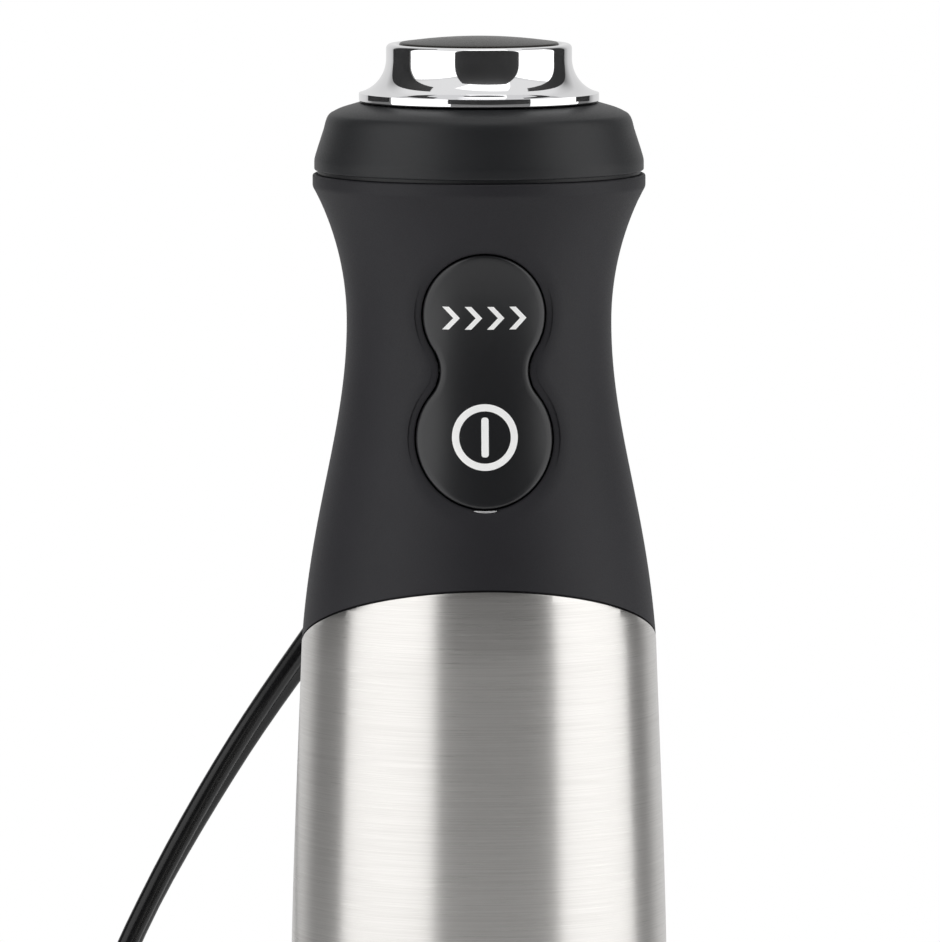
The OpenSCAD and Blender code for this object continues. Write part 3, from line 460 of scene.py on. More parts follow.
leadRoute = [reliefTip(reliefSetup), (0, 62, 339), (-2, 69, 331.5), (-4.5, 73, 322.5), (-9, 75, 312.5),
             (-16.2, 73.5, 301.2), (-24.5, 70, 289.8), (-33, 66, 278.6), (-41, 62.6, 267.6), (-50, 60, 253),
             (-58, 58, 239), (-65, 55, 224), (-72, 51, 207), (-79, 47, 188), (-85, 43, 168), (-90, 39, 148),
             (-94, 36, 128), (-98, 33, 108), (-101.5, 31, 88), (-104.5, 29, 68), (-106.5, 28.5, 50),
             (-107.5, 29.5, 37), (-107.8, 32, 26), (-108, 37, 16), (-107.5, 44, 8.5), (-107, 52, 4.4),
             (-106, 60, 3), (-103.5, 71, 2.6), (-98, 82, 2.6), (-90, 91.5, 2.6)]
tailRoute = [(-95.5, 78, 7), (-91, 84, 8.6), (-85, 89, 10.9), (-77.5, 92, 13.2), (-69.5, 93, 14.4),
             (-62, 93, 14.7)]


def ease(x):
    x = min(max(x, 0), 1)
    return x * x * (3 - 2 * x)


def coilPoint(c, turns):
    # turns count from the side where the lead arrives: two steps in on the floor, then two out on top
    steps = [ease((turns - begin) / 0.5) for begin in (0.5, 1.5, 3, 4)]
    arrival = 1 - ease((turns - c["turnsStart"]) / 0.2)
    radius = (c["outerTurn"] + c["arrival"] * arrival
              + c["pitch"] * (steps[2] + steps[3] - steps[0] - steps[1]))
    height = c["lowLayer"] + c["layerRise"] * ease((turns - 2.3) / 0.4)
    angle = math.pi - turns * turn
    x, y = c["coilMiddle"]
    return (x + radius * math.cos(angle), y + radius * math.sin(angle), height)


def cordLine(c):
    step = (c["turnsEnd"] - c["turnsStart"]) / c["coilPoints"]
    coil = [coilPoint(c, c["turnsStart"] + step * i) for i in range(1, c["coilPoints"] + 1)]
    return [Vector(p) for p in leadRoute + coil + tailRoute]


def smoothLine(points, steps):
    # a curve through the points, even along its length where they are
    line = []
    for i in range(len(points) - 1):
        p0, p1, p2 = points[max(i - 1, 0)], points[i], points[i + 1]
        p3 = points[min(i + 2, len(points) - 1)]
        for k in range(steps):
            t = k / steps
            line.append(0.5 * (2 * p1 + (p2 - p0) * t + (2 * p0 - 5 * p1 + 4 * p2 - p3) * t * t
                               + (3 * p1 - p0 - 3 * p2 + p3) * t ** 3))
    line.append(points[-1])
    return line


def relax(points, rounds):
    # evens out small kinks; the ends stay
    for _ in range(rounds):
        middle = [0.25 * a + 0.5 * b + 0.25 * c for a, b, c in zip(points, points[1:], points[2:])]
        points = [points[0]] + middle + [points[-1]]
    return points


# the way the lead's broad face turns on its way down: height and direction
leadFacing = [(344, (1, 0, 0)), (318, (0.85, 0.5, -0.15)), (290, (0.58, 0.70, -0.40)),
              (262, (0.42, 0.86, -0.26)), (240, (0.24, 0.96, -0.13)), (120, (0.3, 0.95, 0)),
              (45, (1, 0.1, 0)), (0, (1, 0, 0))]


def facingAt(z):
    for (z0, v0), (z1, v1) in zip(leadFacing, leadFacing[1:]):
        if z >= z1:
            t = min(max((z0 - z) / (z0 - z1), 0), 1)
            return Vector(v0).lerp(Vector(v1), t)
    return Vector(leadFacing[-1][1])


def twinSection(c):
    # two round cores side by side with a shallow groove between them
    core = c["thickness"] / 2
    apart = c["width"] / 2 - core
    right = arc((apart, 0), core, -112, 112, 11)
    left = [(-x, -y) for x, y in right]
    groove = core * 0.76
    return right + [(0, groove)] + left + [(0, -groove)]


def makeCord(c):
    line = relax(smoothLine(cordLine(c), 3), 6)
    section = twinSection(c)
    length = sum((b - a).length for a, b in zip(line, line[1:])) * mm
    rings = []
    floorFrom = next(i for i, p in enumerate(line) if p.z < c["floorZone"])
    for i, point in enumerate(line):
        heading = (line[min(i + 1, len(line) - 1)] - line[max(i - 1, 0)]).normalized()
        wide = heading.cross(Vector((0, 0, 1))) if i > floorFrom + 6 else facingAt(point.z)
        wide = (wide - heading * wide.dot(heading)).normalized()
        up = wide.cross(heading)
        rings.append([(point + wide * x + up * y) * mm for x, y in section])
    bm = bmesh.new()
    loft(bm, rings, True, True)
    cord = toMesh("cordLead", bm, "cord_black", "root", replaces=("cord_lead", "cord_coil", "cord_tail"))
    print("cord length", round(length, 4))
    return cord, [tuple(p * mm) for p in line], length


cordPiece, cordPath, cordLength = makeCord(cordSetup)


# Strain relief with soft ribs, tilted down from the back of the grip

def alongRelief(relief):
    return Matrix.Translation(Vector(relief["base"]) * mm) @ Matrix.Rotation(
        math.radians(-90 - relief["tilt"]), 4, "X")


def makeRelief(relief):
    line = [(0, -3), (6, -3), (6, -2.2, 0.2), (4.2, -2.2, 0.2), (4.2, 1.6), (6.2, 1.6, 0.4), (6.2, 3.6, 0.7),
            (5.1, 4.8, 0.8)]
    ribs = 8
    for i in range(ribs):
        z = 6.4 + 3.1 * i
        r = 5.0 - 1.15 * i / ribs
        line += [(r - 0.75, z, 0.35), (r - 0.75, z + 1.1, 0.35), (r, z + 1.35, 0.35),
                 (r - 0.1, z + 2.85, 0.35)]
    line += [(3.6, 32, 0.3), (3.5, 34, 0.5), (0, 34)]
    bm = bmesh.new()
    spunProfile(bm, softCorners(line, False, 3), False, steps=64)
    bmesh.ops.transform(bm, matrix=alongRelief(relief), verts=bm.verts)
    return toMesh("strainRelief", bm, "rubber", "root", replaces=("strain_relief",))


reliefPiece = makeRelief(reliefSetup)


# Plug, pins and tie

# its sections run from the cord's end to the pins: place, half width, half height
plugSetup = {"x": tailRoute[-1][0], "y": tailRoute[-1][1], "z": tailRoute[-1][2], "length": 30,
             "hollowMiddle": 21, "hollowReach": 6, "hollowSide": 8, "hollowDepth": 0.9,
             "pinApart": 12.7, "pinLength": 17, "pinTall": 6.4, "pinThick": 1.5,
             "sections": [(-2, 3.9, 3.0), (-1.6, 4.3, 3.4), (0, 4.4, 3.5), (0.4, 4.0, 3.1), (1.4, 4.0, 3.1),
                          (1.8, 4.8, 3.8), (3.4, 5.0, 4.0), (3.8, 4.4, 3.5), (4.8, 4.5, 3.6),
                          (5.2, 5.4, 4.2), (6.8, 5.6, 4.4), (7.2, 5.0, 4.1), (8.4, 5.6, 4.4),
                          (10.2, 8.4, 5.3), (12.4, 11.0, 6.2), (14, 11.9, 6.5), (27.6, 12, 6.5),
                          (29.2, 11.7, 6.2), (30, 10.9, 5.5)]}


def roundedBox(halfWide, halfTall, corner, steps=6):
    points = []
    for cx, cy, start in ((1, 1, 0), (-1, 1, 90), (-1, -1, 180), (1, -1, 270)):
        centre = (cx * (halfWide - corner), cy * (halfTall - corner))
        points += arc(centre, corner, start, start + 90, steps)
    return points


def makePlug(plug):
    bm = bmesh.new()
    rings = []
    for x, wide, tall in plug["sections"]:
        rings.append([Vector((plug["x"] + x, plug["y"] + a, plug["z"] + b)) * mm
                      for a, b in roundedBox(wide, tall, tall * 0.72)])
    loft(bm, rings, True, True)
    # a shallow finger hollow on both broad faces
    for vert in bm.verts:
        along = (vert.co.x / mm - plug["x"] - plug["hollowMiddle"]) / plug["hollowReach"]
        side = (vert.co.y / mm - plug["y"]) / plug["hollowSide"]
        if abs(along) < 1 and abs(side) < 1:
            sink = plug["hollowDepth"] * mm * (1 - along ** 2) * (1 - side ** 2)
            vert.co.z -= math.copysign(sink, vert.co.z - plug["z"] * mm)
    body = toMesh("plugBody", bm, "cord_black", "root", replaces=("cord_plug",), sharp=50)
    bm = bmesh.new()
    pinMiddle = plug["x"] + plug["length"] - 0.5 + plug["pinLength"] / 2
    for side in (-0.5, 0.5):
        addBlock(bm, (plug["pinLength"] + 1, plug["pinThick"], plug["pinTall"]),
                 (pinMiddle, plug["y"] + side * plug["pinApart"], plug["z"]))
    bevelEdges(bm, list(bm.edges), 0.3)
    pins = toMesh("plugPins", bm, "bright_steel", "root")
    return body, pins


plugPiece, plugPins = makePlug(plugSetup)

tieSetup = {"angle": -20, "innerRadius": 24.8, "outerRadius": 45.2, "height": 9, "width": 6,
            "thickness": 0.75, "buckle": (7, 6.8, 1.4)}


def makeTie(tie):
    # a strap round the coil's turns, with its buckle on top
    middle = (tie["innerRadius"] + tie["outerRadius"]) / 2
    loop = roundedBox((tie["outerRadius"] - tie["innerRadius"]) / 2 + 0.8, tie["height"] / 2, 2.2, 8)
    coil = Vector((*cordSetup["coilMiddle"], 0)) * mm
    place = Matrix.Translation(coil) @ Matrix.Rotation(math.radians(tie["angle"]), 4, "Z")
    bm = bmesh.new()
    steps = 6
    rings = []
    for i in range(steps + 1):
        along = -tie["width"] / 2 + tie["width"] * i / steps
        rings.append([place @ (Vector((middle + a, along, tie["height"] / 2 + b)) * mm) for a, b in loop])
    loft(bm, rings)
    centre = place @ (Vector((middle, 0, tie["height"] / 2)) * mm)
    strap = openSkin("cordTie", bm, "rubber", "root", "cord_tie", tie["thickness"], centre)
    roundEdges(strap, 0.2, 50)
    bm = bmesh.new()
    addBlock(bm, tie["buckle"], (middle + 2, 0, tie["height"] + 0.3))
    bevelEdges(bm, list(bm.edges), 0.5)
    bmesh.ops.transform(bm, matrix=place, verts=bm.verts)
    return strap, toMesh("tieBuckle", bm, "rubber", "root")


tiePiece, tieBuckle = makeTie(tieSetup)
print("cord, relief, plug and tie made")

# Dial: a chromed ring with a flared foot, and its domed cap


dial = {"wall": 16.4, "low": 388.6, "footRadius": 21.2, "footTop": 389.9, "flare": 6.3, "flareHeight": 396.2,
        "lip": 0.8, "lipHeight": 397.95, "ledge": 396.4, "top": 400, "capRise": 1.1}


def makeDial(d):
    wall = d["wall"]
    line = [(wall - 1.2, d["low"]), (d["footRadius"], d["low"], 0.3), (d["footRadius"], d["footTop"], 0.45)]
    line += arc((wall + d["flare"], d["flareHeight"]), d["flare"], 256, 180, 24)
    line += arc((wall - d["lip"], d["lipHeight"]), d["lip"], 0, 90, 8)
    line += [(wall - 1.7, d["lipHeight"] + d["lip"], 0.3), (wall - 2, 398.0, 0.3), (wall - 2, d["ledge"]),
             (wall - 3.4, d["ledge"]), (wall - 3.4, 394), (wall - 1.2, 394)]
    turnedPiece("dialRing", line, "chrome_trim", "dial", replaces=("dial_ring",), sharp=45)
    cap = wall - 2.3
    dome = (cap * cap + d["capRise"] ** 2) / (2 * d["capRise"])
    half = math.degrees(math.asin(cap / dome))
    capFoot = d["ledge"] + 0.1
    line = [(0, capFoot), (cap, capFoot), (cap, d["top"] - d["capRise"] + 0.05, 0.45)]
    line += arc((0, d["top"] - dome), dome, 90 - half + 1.5, 90, 20)
    turnedPiece("dialCap", line, "capShade", "dial", False, 160, slot="gloss_black", replaces=("dial_cap",))


makeDial(dial)
print("dial made")


# Top collar

# the spigot's step keeps the groove above the grip's lip narrow and dark
collar = {"top": 388.3, "foot": 376.5, "footRadius": 29.1, "stepRadius": 28.5, "spigotRadius": 26.6,
          "spigotFoot": 372, "spigotInside": 24.8, "floor": 375.6}


def makeTopCollar(c):
    line = [(8, c["top"]), (21.3, c["top"]), (24.7, 387.3, 1.2)]
    line += bezier((26.2, 386.5), (26.9, 386), (27.1, 385.1), (27.4, 383.8), 10)
    line += [(28.7, 379.8, 1.5), (c["footRadius"], 378.4, 0.5), (c["footRadius"], c["foot"], 0.3),
             (c["stepRadius"], c["foot"]), (c["stepRadius"], handle["lipHeight"] + 0.1),
             (c["spigotRadius"], handle["lipHeight"] + 0.1), (c["spigotRadius"], c["spigotFoot"]),
             (c["spigotInside"], c["spigotFoot"]), (c["spigotInside"], c["floor"]), (4, c["floor"]),
             (4, c["floor"] + 2), (25.4, c["floor"] + 2), (24.8, 384.3), (22.4, 386.1), (8, 386.1)]
    turnedPiece("topCollar", line, "collar_black", "root", replaces=("top_collar",))


makeTopCollar(collar)

# Rocker outline: two lobes blended by round waists, grown or shrunk evenly

rocker = {"upperRadius": 10.7, "lowerRadius": 11.95, "upperHeight": 352.4, "lowerHeight": 330.8,
          "blendX": 14.37, "blendZ": 342.64, "blendRadius": 6.67, "gap": 0.28, "haloWidth": 2.2,
          "haloFade": 1.1, "haloDepth": 0.6, "tiltRoom": 0.2, "wallDepth": 3.4, "inset": 0.12}


def rockerOutline(grow, count):
    r = rocker
    up = math.degrees(math.atan2(r["blendZ"] - r["upperHeight"], r["blendX"]))
    down = math.degrees(math.atan2(r["blendZ"] - r["lowerHeight"], r["blendX"]))
    side = max(4, round(count * 0.09))
    top = (count - 2 * side) * 46 // 100
    bottom = count - 2 * side - top
    points = arc((0, r["upperHeight"]), r["upperRadius"] + grow, up, 180 - up, top)[:-1]
    points += arc((-r["blendX"], r["blendZ"]), r["blendRadius"] - grow, -up, -down, side)[:-1]
    points += arc((0, r["lowerHeight"]), r["lowerRadius"] + grow, 180 - down, 360 + down, bottom)[:-1]
    points += arc((r["blendX"], r["blendZ"]), r["blendRadius"] - grow, 180 + down, 180 + up, side)[:-1]
    return points


def openWindow(bm, radiusAt, around, halfAngle, low, high, middle, outline, rings):
    # cuts a patch out of a round wall and joins the window's rings to the border, along rays from its middle
    def spin(p):
        return (math.atan2(p.x, -p.y) - around + math.pi) % turn - math.pi

    def inPatch(p, slack):
        outside = math.hypot(p.x, p.y) / mm > radiusAt(p.z / mm) - 1
        level = low - slack * 20 < p.z / mm < high + slack * 20
        return outside and level and abs(spin(p)) < halfAngle + slack

    bmesh.ops.delete(bm, geom=[f for f in bm.faces if inPatch(f.calc_center_median(), 0)], context="FACES")
    border = [e for e in bm.edges if e.is_boundary and all(inPatch(v.co, 0.05) for v in e.verts)]

    def bearing(x, z):
        return math.atan2(z - middle, x)

    corners = {v for e in border for v in e.verts}
    wanted = sorted(bearing(v.co.xy.length / mm * math.sin(spin(v.co)), v.co.z / mm) for v in corners)
    outermost = outline(rings[0][0])
    begin = bearing(*outermost[0])
    bearings = [(bearing(x, z) - begin) % turn for x, z in outermost]

    def indexAt(angle):
        goal = (angle - begin) % turn
        i = max(bisect.bisect_right(bearings, goal) - 1, 0)
        ahead = bearings[i + 1] if i + 1 < len(bearings) else turn
        return i + (goal - bearings[i]) / max(ahead - bearings[i], tiny)

    places = [indexAt(angle) for angle in wanted]

    def pointAt(line, index):
        i = int(index) % len(line)
        a, b = line[i], line[(i + 1) % len(line)]
        return a[0] + (b[0] - a[0]) * (index % 1), a[1] + (b[1] - a[1]) * (index % 1)

    shaped = []
    for grow, depth in rings:
        line = outline(grow)
        shaped.append([onSurface(radiusAt, *pointAt(line, place), depth, around) for place in places])
    first, _ = loft(bm, shaped)
    bridge = bmesh.ops.bridge_loops(bm, edges=border + first)["faces"]
    keep = set(border) | set(first)
    rungs = list(dict.fromkeys(e for f in bridge for e in f.edges if e not in keep))
    made = bmesh.ops.subdivide_edges(bm, edges=rungs, cuts=5, use_grid_fill=True)
    for vert in dict.fromkeys(vertsOf(made["geom_inner"])):
        z = vert.co.z / mm
        reach = radiusAt(z) * mm / math.hypot(vert.co.x, vert.co.y)
        vert.co.x *= reach
        vert.co.y *= reach


# Grip: front shell with the dished recess round the rocker, and rear shell

def slantCut(bm, height, keepAbove):
    # cuts along the sleeve's slanted upper edge
    cut = Vector((0, -handle["sleeveTopRadius"], height)) * mm
    slant = Vector((0, handle["cutSlope"], 1)).normalized()
    bmesh.ops.bisect_plane(bm, geom=list(bm.verts) + list(bm.edges) + list(bm.faces), plane_co=cut,
                           plane_no=slant, clear_inner=keepAbove, clear_outer=not keepAbove)
    return [e for e in bm.edges if all(abs((v.co - cut).dot(slant)) < 1e-6 for v in e.verts)]


def recessRings(r):
    edge = r["gap"] + r["haloWidth"] + r["haloFade"]
    steps = 14
    rings = [(edge - (edge - r["gap"] - 0.06) * i / steps, r["haloDepth"] * (i / steps) ** 2)
             for i in range(steps + 1)]
    rings += [(r["gap"], r["haloDepth"] + 0.05), (r["gap"] - 0.02, r["haloDepth"] + 0.2)]
    # behind its lip the wall opens, because the tilted rocker moves down a little as it sinks
    wide = r["gap"] + r["tiltRoom"]
    return rings + [(wide, r["haloDepth"] + 0.65), (wide, r["wallDepth"])]


def grip(front):
    h = handle
    line = [(h["lipInside"], 374), (h["lipInside"], h["lipHeight"])]
    line += [(h["lipRadius"], h["lipHeight"], 0.45), (h["lipRadius"], h["lipFoot"], 0.4)]
    line = softCorners(line + [(28.9, 372.7)], False)
    line += waistLine + swellLine[1:] + barrelLine[1:]
    line = [p for p in line if p[1] > 276]
    bm = bmesh.new()
    parting = math.radians(0.12)
    start = -math.pi / 2 + parting if front else math.pi / 2 + parting
    spunProfile(bm, line, False, start, math.pi - 2 * parting, 132)
    # the slanted edge, then a ledge and a skirt that the sleeve covers
    rim = slantCut(bm, h["cutHeight"] + h["seam"], True)
    ledge = bmesh.ops.extrude_edge_only(bm, edges=rim)["geom"]
    fresh = vertsOf(ledge)
    for vert in fresh:
        flat = Vector((vert.co.x, vert.co.y, 0))
        vert.co -= flat.normalized() * h["skirtInset"] * mm
    edges = [e for e in ledge if isinstance(e, bmesh.types.BMEdge) and set(e.verts) <= set(fresh)]
    skirt = bmesh.ops.extrude_edge_only(bm, edges=edges)["geom"]
    for vert in vertsOf(skirt):
        flat = Vector((vert.co.x, vert.co.y, 0)).normalized()
        radius = handleRadius(h["skirtHeight"]) - h["skirtInset"]
        vert.co = (flat * radius + Vector((0, 0, h["skirtHeight"]))) * mm
    if front:
        openWindow(bm, handleRadius, 0, math.radians(47), 311.4, 370.3, 342,
                   lambda grow: rockerOutline(grow, 720), recessRings(rocker))
    name, node = ("gripFront", "grip_front") if front else ("gripRear", "grip_rear")
    openSkin(name, bm, "soft_touch_black", "root", node, h["gripWall"], sharp=40)


grip(True)
grip(False)

# painted highlight: size and place of the glint of light on the soft-touch rim below the rocker
glint = {"halfAngle": 11.5, "inner": 0.28, "outer": 0.72, "depth": 0.52}


def makePaintedGlint(g):
    # a chrome crescent on the recess's lower edge as a painted highlight: the rim there is soft-touch black,
    # and the chrome stands in for the glint of light on it
    rings = []
    for rise, narrow in ((-0.2, 0), (0, 0), (0.08, 0.03), (0.15, 0.09), (0.19, 0.17)):
        outline = []
        steps = 16
        middle = rocker["lowerRadius"] + (g["inner"] + g["outer"]) / 2
        for side in (1, -1):
            for i in range(steps + 1):
                t = side * (2 * i / steps - 1)
                swell = max((g["outer"] - g["inner"]) / 2 * math.sqrt(1 - t * t) - narrow, 0.01)
                angle = math.radians(270 + g["halfAngle"] * t)
                radius = middle + side * swell
                outline.append((radius * math.cos(angle), rocker["lowerHeight"] + radius * math.sin(angle)))
        rings.append([onSurface(handleRadius, x, z, g["depth"] - rise) for x, z in outline[:-1]])
    bm = bmesh.new()
    loft(bm, rings, True, True)
    toMesh("recessPaintedGlint", bm, "chrome_trim", "root", slot="soft_touch_black")


makePaintedGlint(glint)
print("grip made")


# Steel sleeve

def makeSleeve(h):
    line = [p for p in swellLine if p[1] < 312] + barrelLine[1:] + footLine[1:]
    bm = bmesh.new()
    spunProfile(bm, line, False, steps=240)
    slantCut(bm, h["cutHeight"], False)
    sleeve = openSkin("steelSleeve", bm, "brushed_steel", "root", "steel_sleeve", h["sleeveWall"])
    roundEdges(sleeve, h["sleeveEdge"], 50)


makeSleeve(handle)
print("sleeve made")

# Lower collar with its two release buttons

collarLine = bezier((32, 197.6), (31.1, 187), (27.45, 181.2), (26.25, 172.2), 30)
collarRadius = lookup(collarLine)
release = {"halfWide": 6, "low": 178, "high": 189.5, "corner": 2, "gap": 0.35, "proud": 0.5, "ridges": 4,
           "ridgeLow": 180.1, "ridgePitch": 2.4, "ridgeWide": 3.4, "ridgeTall": 0.42}


def releaseOutline(grow, steps):
    # inner rings keep a little of the corner's roundness
    r = release
    middle = (r["low"] + r["high"]) / 2
    wide = r["halfWide"] + grow
    tall = (r["high"] - r["low"]) / 2 + grow
    corner = max(min(r["corner"] + grow, wide, tall), 0.15)
    return [(x, middle + z) for x, z in roundedBox(wide, tall, corner, steps)]


def makeLowerCollar():
    line = [(31.15, 203.5), (31.15, 197.6)] + collarLine
    line += [(26.15, 172.0), (20, 172.0), (20, 190.3), (10, 190.3)]
    bm = bmesh.new()
    spunProfile(bm, line, False, steps=180)

    g = release["gap"]
    rings = [(g + 0.8, 0), (g + 0.4, 0), (g + 0.15, 0), (g + 0.03, 0.05), (g, 0.2), (g, 1.8)]
    for side in (-1, 1):
        openWindow(bm, collarRadius, side * math.pi / 2, math.radians(17), 175.6, 192,
                   (release["low"] + release["high"]) / 2, lambda grow: releaseOutline(grow, 12), rings)
    openSkin("lowerCollar", bm, "collar_black", "root", "lower_collar", 1.2)


def makeRelease(name, side, body, node):
    # rounded at its edge and a little dished in the middle, with raised ridges for the thumb
    r = release
    face = -r["proud"]
    around = side * math.pi / 2
    rings = [(0, 2.6), (0, face + 0.45), (-0.05, face + 0.23), (-0.2, face + 0.06), (-0.45, face),
             (-1.4, face), (-2.4, face + 0.03), (-3.4, face + 0.05), (-4.4, face + 0.06), (-5.2, face + 0.06)]
    bm = bmesh.new()
    shaped = [[onSurface(collarRadius, x, z, depth, around) for x, z in releaseOutline(grow, 23)]
              for grow, depth in rings]
    loft(bm, shaped, True, True)
    toMesh(name, bm, "gloss_black", body, replaces=(node,))
    bars = bmesh.new()
    bar = roundedBox(r["ridgeWide"], r["ridgeTall"], 0.4, 4)
    for i in range(r["ridges"]):
        stamp(bars, bar, (0, r["ridgeLow"] + r["ridgePitch"] * i), 0.5, collarRadius, face, around)
    toMesh(name + "Ridges", bars, "gloss_black", body)


makeLowerCollar()
makeRelease("releaseLeft", -1, "release_left", "release_button_left")
makeRelease("releaseRight", 1, "release_right", "release_button_right")
print("lower collar made")


# Rocker: its skin, the power ring with its bar, and a row of chevrons

def makeRocker():
    count = 168
    inset = rocker["inset"]
    rings = [(0, 3.2), (0, inset + 0.5), (-0.06, inset + 0.24), (-0.22, inset + 0.08)]
    rings += [(-step, inset) for step in (0.5, 1.2, 2.4, 3.8, 5.2, 6.4)]
    bm = bmesh.new()
    shaped = [[onSurface(handleRadius, x, z, depth) for x, z in rockerOutline(grow, count)]
              for grow, depth in rings]
    _, inner = loft(bm, shaped, True, False)
    made = bmesh.ops.edgeloop_fill(bm, edges=inner)["faces"]
    # the last face is cut into a net, then laid on the surface
    region = list(made)
    for axis, values in (((1, 0, 0), (-4, -2, 0, 2, 4)), ((0, 0, 1), tuple(range(326, 358, 2)))):
        for value in values:
            point = Vector(axis) * value * mm
            parts = set(region) | {e for f in region for e in f.edges} | {v for f in region for v in f.verts}
            cut = bmesh.ops.bisect_plane(bm, geom=list(parts), plane_co=point, plane_no=axis)
            region = [item for item in cut["geom"] if isinstance(item, bmesh.types.BMFace)]
    rim = {v for e in inner if e.is_valid for v in e.verts}
    for vert in {v for f in region for v in f.verts} - rim:
        vert.co = onSurface(handleRadius, vert.co.x / mm, vert.co.z / mm, inset)
    bmesh.ops.triangulate(bm, faces=[f for f in region if len(f.verts) > 4])
    toMesh("rockerSkin", bm, "gloss_black", "rocker", replaces=("rocker_button",), sharp=42)


marks = {"ringOuter": 5.76, "ringStroke": 1.24, "ringHeight": 331.25, "barWidth": 1.28, "barLength": 6.9,
         "chevrons": 4, "chevronPitch": 3.9, "chevronTall": 4.0, "chevronReach": 1.9, "chevronStroke": 1.15,
         "chevronHeight": 352, "proud": 0.05}


def makeMarks():
    m = marks
    lift = rocker["inset"] - m["proud"]
    bm = bmesh.new()
    rings = []
    outer = m["ringOuter"]
    inner = outer - m["ringStroke"]
    for radius, depth in ((inner, lift + 0.12), (inner, lift + 0.01), (inner + 0.05, lift),
                          (outer - 0.05, lift), (outer, lift + 0.01), (outer, lift + 0.12)):
        rings.append([onSurface(handleRadius, x, z, depth) for x, z in
                      arc((0, m["ringHeight"]), radius, 0, 360, 96)[:-1]])
    loft(bm, rings)
    stamp(bm, roundedBox(m["barWidth"] / 2, m["barLength"] / 2, 0.5, 5), (0, m["ringHeight"]), 0.12,
          handleRadius, lift + 0.02, columns=2)
    toMesh("powerMark", bm, "printWhite", "rocker", slot="gloss_black")
    bm = bmesh.new()
    half = m["chevronTall"] / 2
    reach = m["chevronReach"]
    stroke = m["chevronStroke"]
    point, notch = (reach, 0), (reach - stroke, 0)
    arms = ([(-stroke, -half), (0, -half), point, notch], [notch, point, (0, half), (-stroke, half)])
    for i in range(m["chevrons"]):
        x = (i - (m["chevrons"] - 1) / 2) * m["chevronPitch"] - (reach - stroke) / 2
        for part in arms:
            stamp(bm, part, (x, m["chevronHeight"]), 0.12, handleRadius, lift + 0.02, columns=4)
    toMesh("chevronRow", bm, "printWhite", "rocker", slot="gloss_black")


makeRocker()
makeMarks()
print("rocker made")


# Wand: collar, tube, bell and blade

bell = {"radius": 31, "neck": 12.6, "top": 66, "skirt": 20, "wall": 1.2, "notchWide": 15, "notchTall": 9,
        "notchCorner": 3}
wand = {"radius": 14, "top": 172, "wall": 1.2, "bore": 14.02, "rimRadius": 26.05, "rimHeight": 171.8,
        "foot": 150, "plugRadius": 19.9, "grooveRadius": 19}


def makeWand(w):
    rim, foot, plug, groove = (w["rimRadius"], w["rimHeight"]), w["foot"], w["plugRadius"], w["grooveRadius"]
    outer = bezier(rim, (24.85, 164.2), (16.5, 158.2), (15, foot), 26)
    line = [(w["bore"], foot), (15, foot, 0.3)] + outer[-2:0:-1] + [(*rim, 0.4)]
    line += [(plug, w["rimHeight"]), (plug, 179.8, 0.2), (groove, 180), (groove, 182), (plug, 182.2, 0.2),
             (plug, 188.5, 0.5), (18.4, 190, 0.5), (8.6, 190, 0.3), (8.6, 175), (4.9, 175), (4.9, w["top"]),
             (w["bore"], w["top"])]
    turnedPiece("wandCollar", line, "collar_black", "wand", steps=180, replaces=("wand_collar",))
    bm = bmesh.new()
    rows = 20
    length = w["top"] - bell["top"]
    line = [(w["radius"] - (w["radius"] - bell["neck"]) * i / rows, w["top"] - length * i / rows)
            for i in range(rows + 1)]
    spunProfile(bm, line, False, steps=180)
    openSkin("wandTube", bm, "brushed_steel", "wand", "wand_tube", w["wall"])


def notchCutter(b, angle):
    bm = bmesh.new()
    addBlock(bm, (100, b["notchWide"], 2 * b["notchTall"]), (0, 0, 0))
    long = [e for e in bm.edges if abs(e.verts[0].co.x - e.verts[1].co.x) > mm]
    bevelEdges(bm, long, b["notchCorner"], 8)
    bmesh.ops.rotate(bm, cent=(0, 0, 0), matrix=Matrix.Rotation(angle, 3, "Z"), verts=bm.verts)
    return newObject("notch", bm)


def makeBell(b):
    line = [(b["neck"], b["top"])] + bezier((b["neck"], b["top"] - 4), (b["neck"], b["top"] - 22),
                                            (b["radius"], b["skirt"] + 26), (b["radius"], b["skirt"]), 44)
    line += [(b["radius"], z) for z in (16, 12, 8, 4, 0)]
    bm = bmesh.new()
    spunProfile(bm, line, False, steps=192)
    piece = openSkin("bellGuard", bm, "brushed_steel", "wand", "bell_guard", b["wall"])
    cutters = [notchCutter(b, angle) for angle in (0, math.pi / 2)]
    for cutter in cutters:
        notch = piece.modifiers.new("notch", "BOOLEAN")
        notch.operation = "DIFFERENCE"
        notch.solver = "EXACT"
        notch.object = cutter
    made = bpy.data.meshes.new_from_object(piece.evaluated_get(bpy.context.evaluated_depsgraph_get()))
    piece.modifiers.clear()
    piece.data = made
    for cutter in cutters:
        bpy.data.objects.remove(cutter)
    made.set_sharp_from_angle(angle=math.radians(38))
    roundEdges(piece, 0.2, 60)


blade = {"half": 22, "stations": 44, "height": 10, "thick": 1.4, "halfWide": 4, "taper": 0.6, "upBend": 9,
         "upRise": 5, "downBend": 10, "downRise": 1.6, "tipStart": 19, "tipLength": 3.2, "edgeStart": 7,
         "ground": 1.9, "thinned": 0.82}


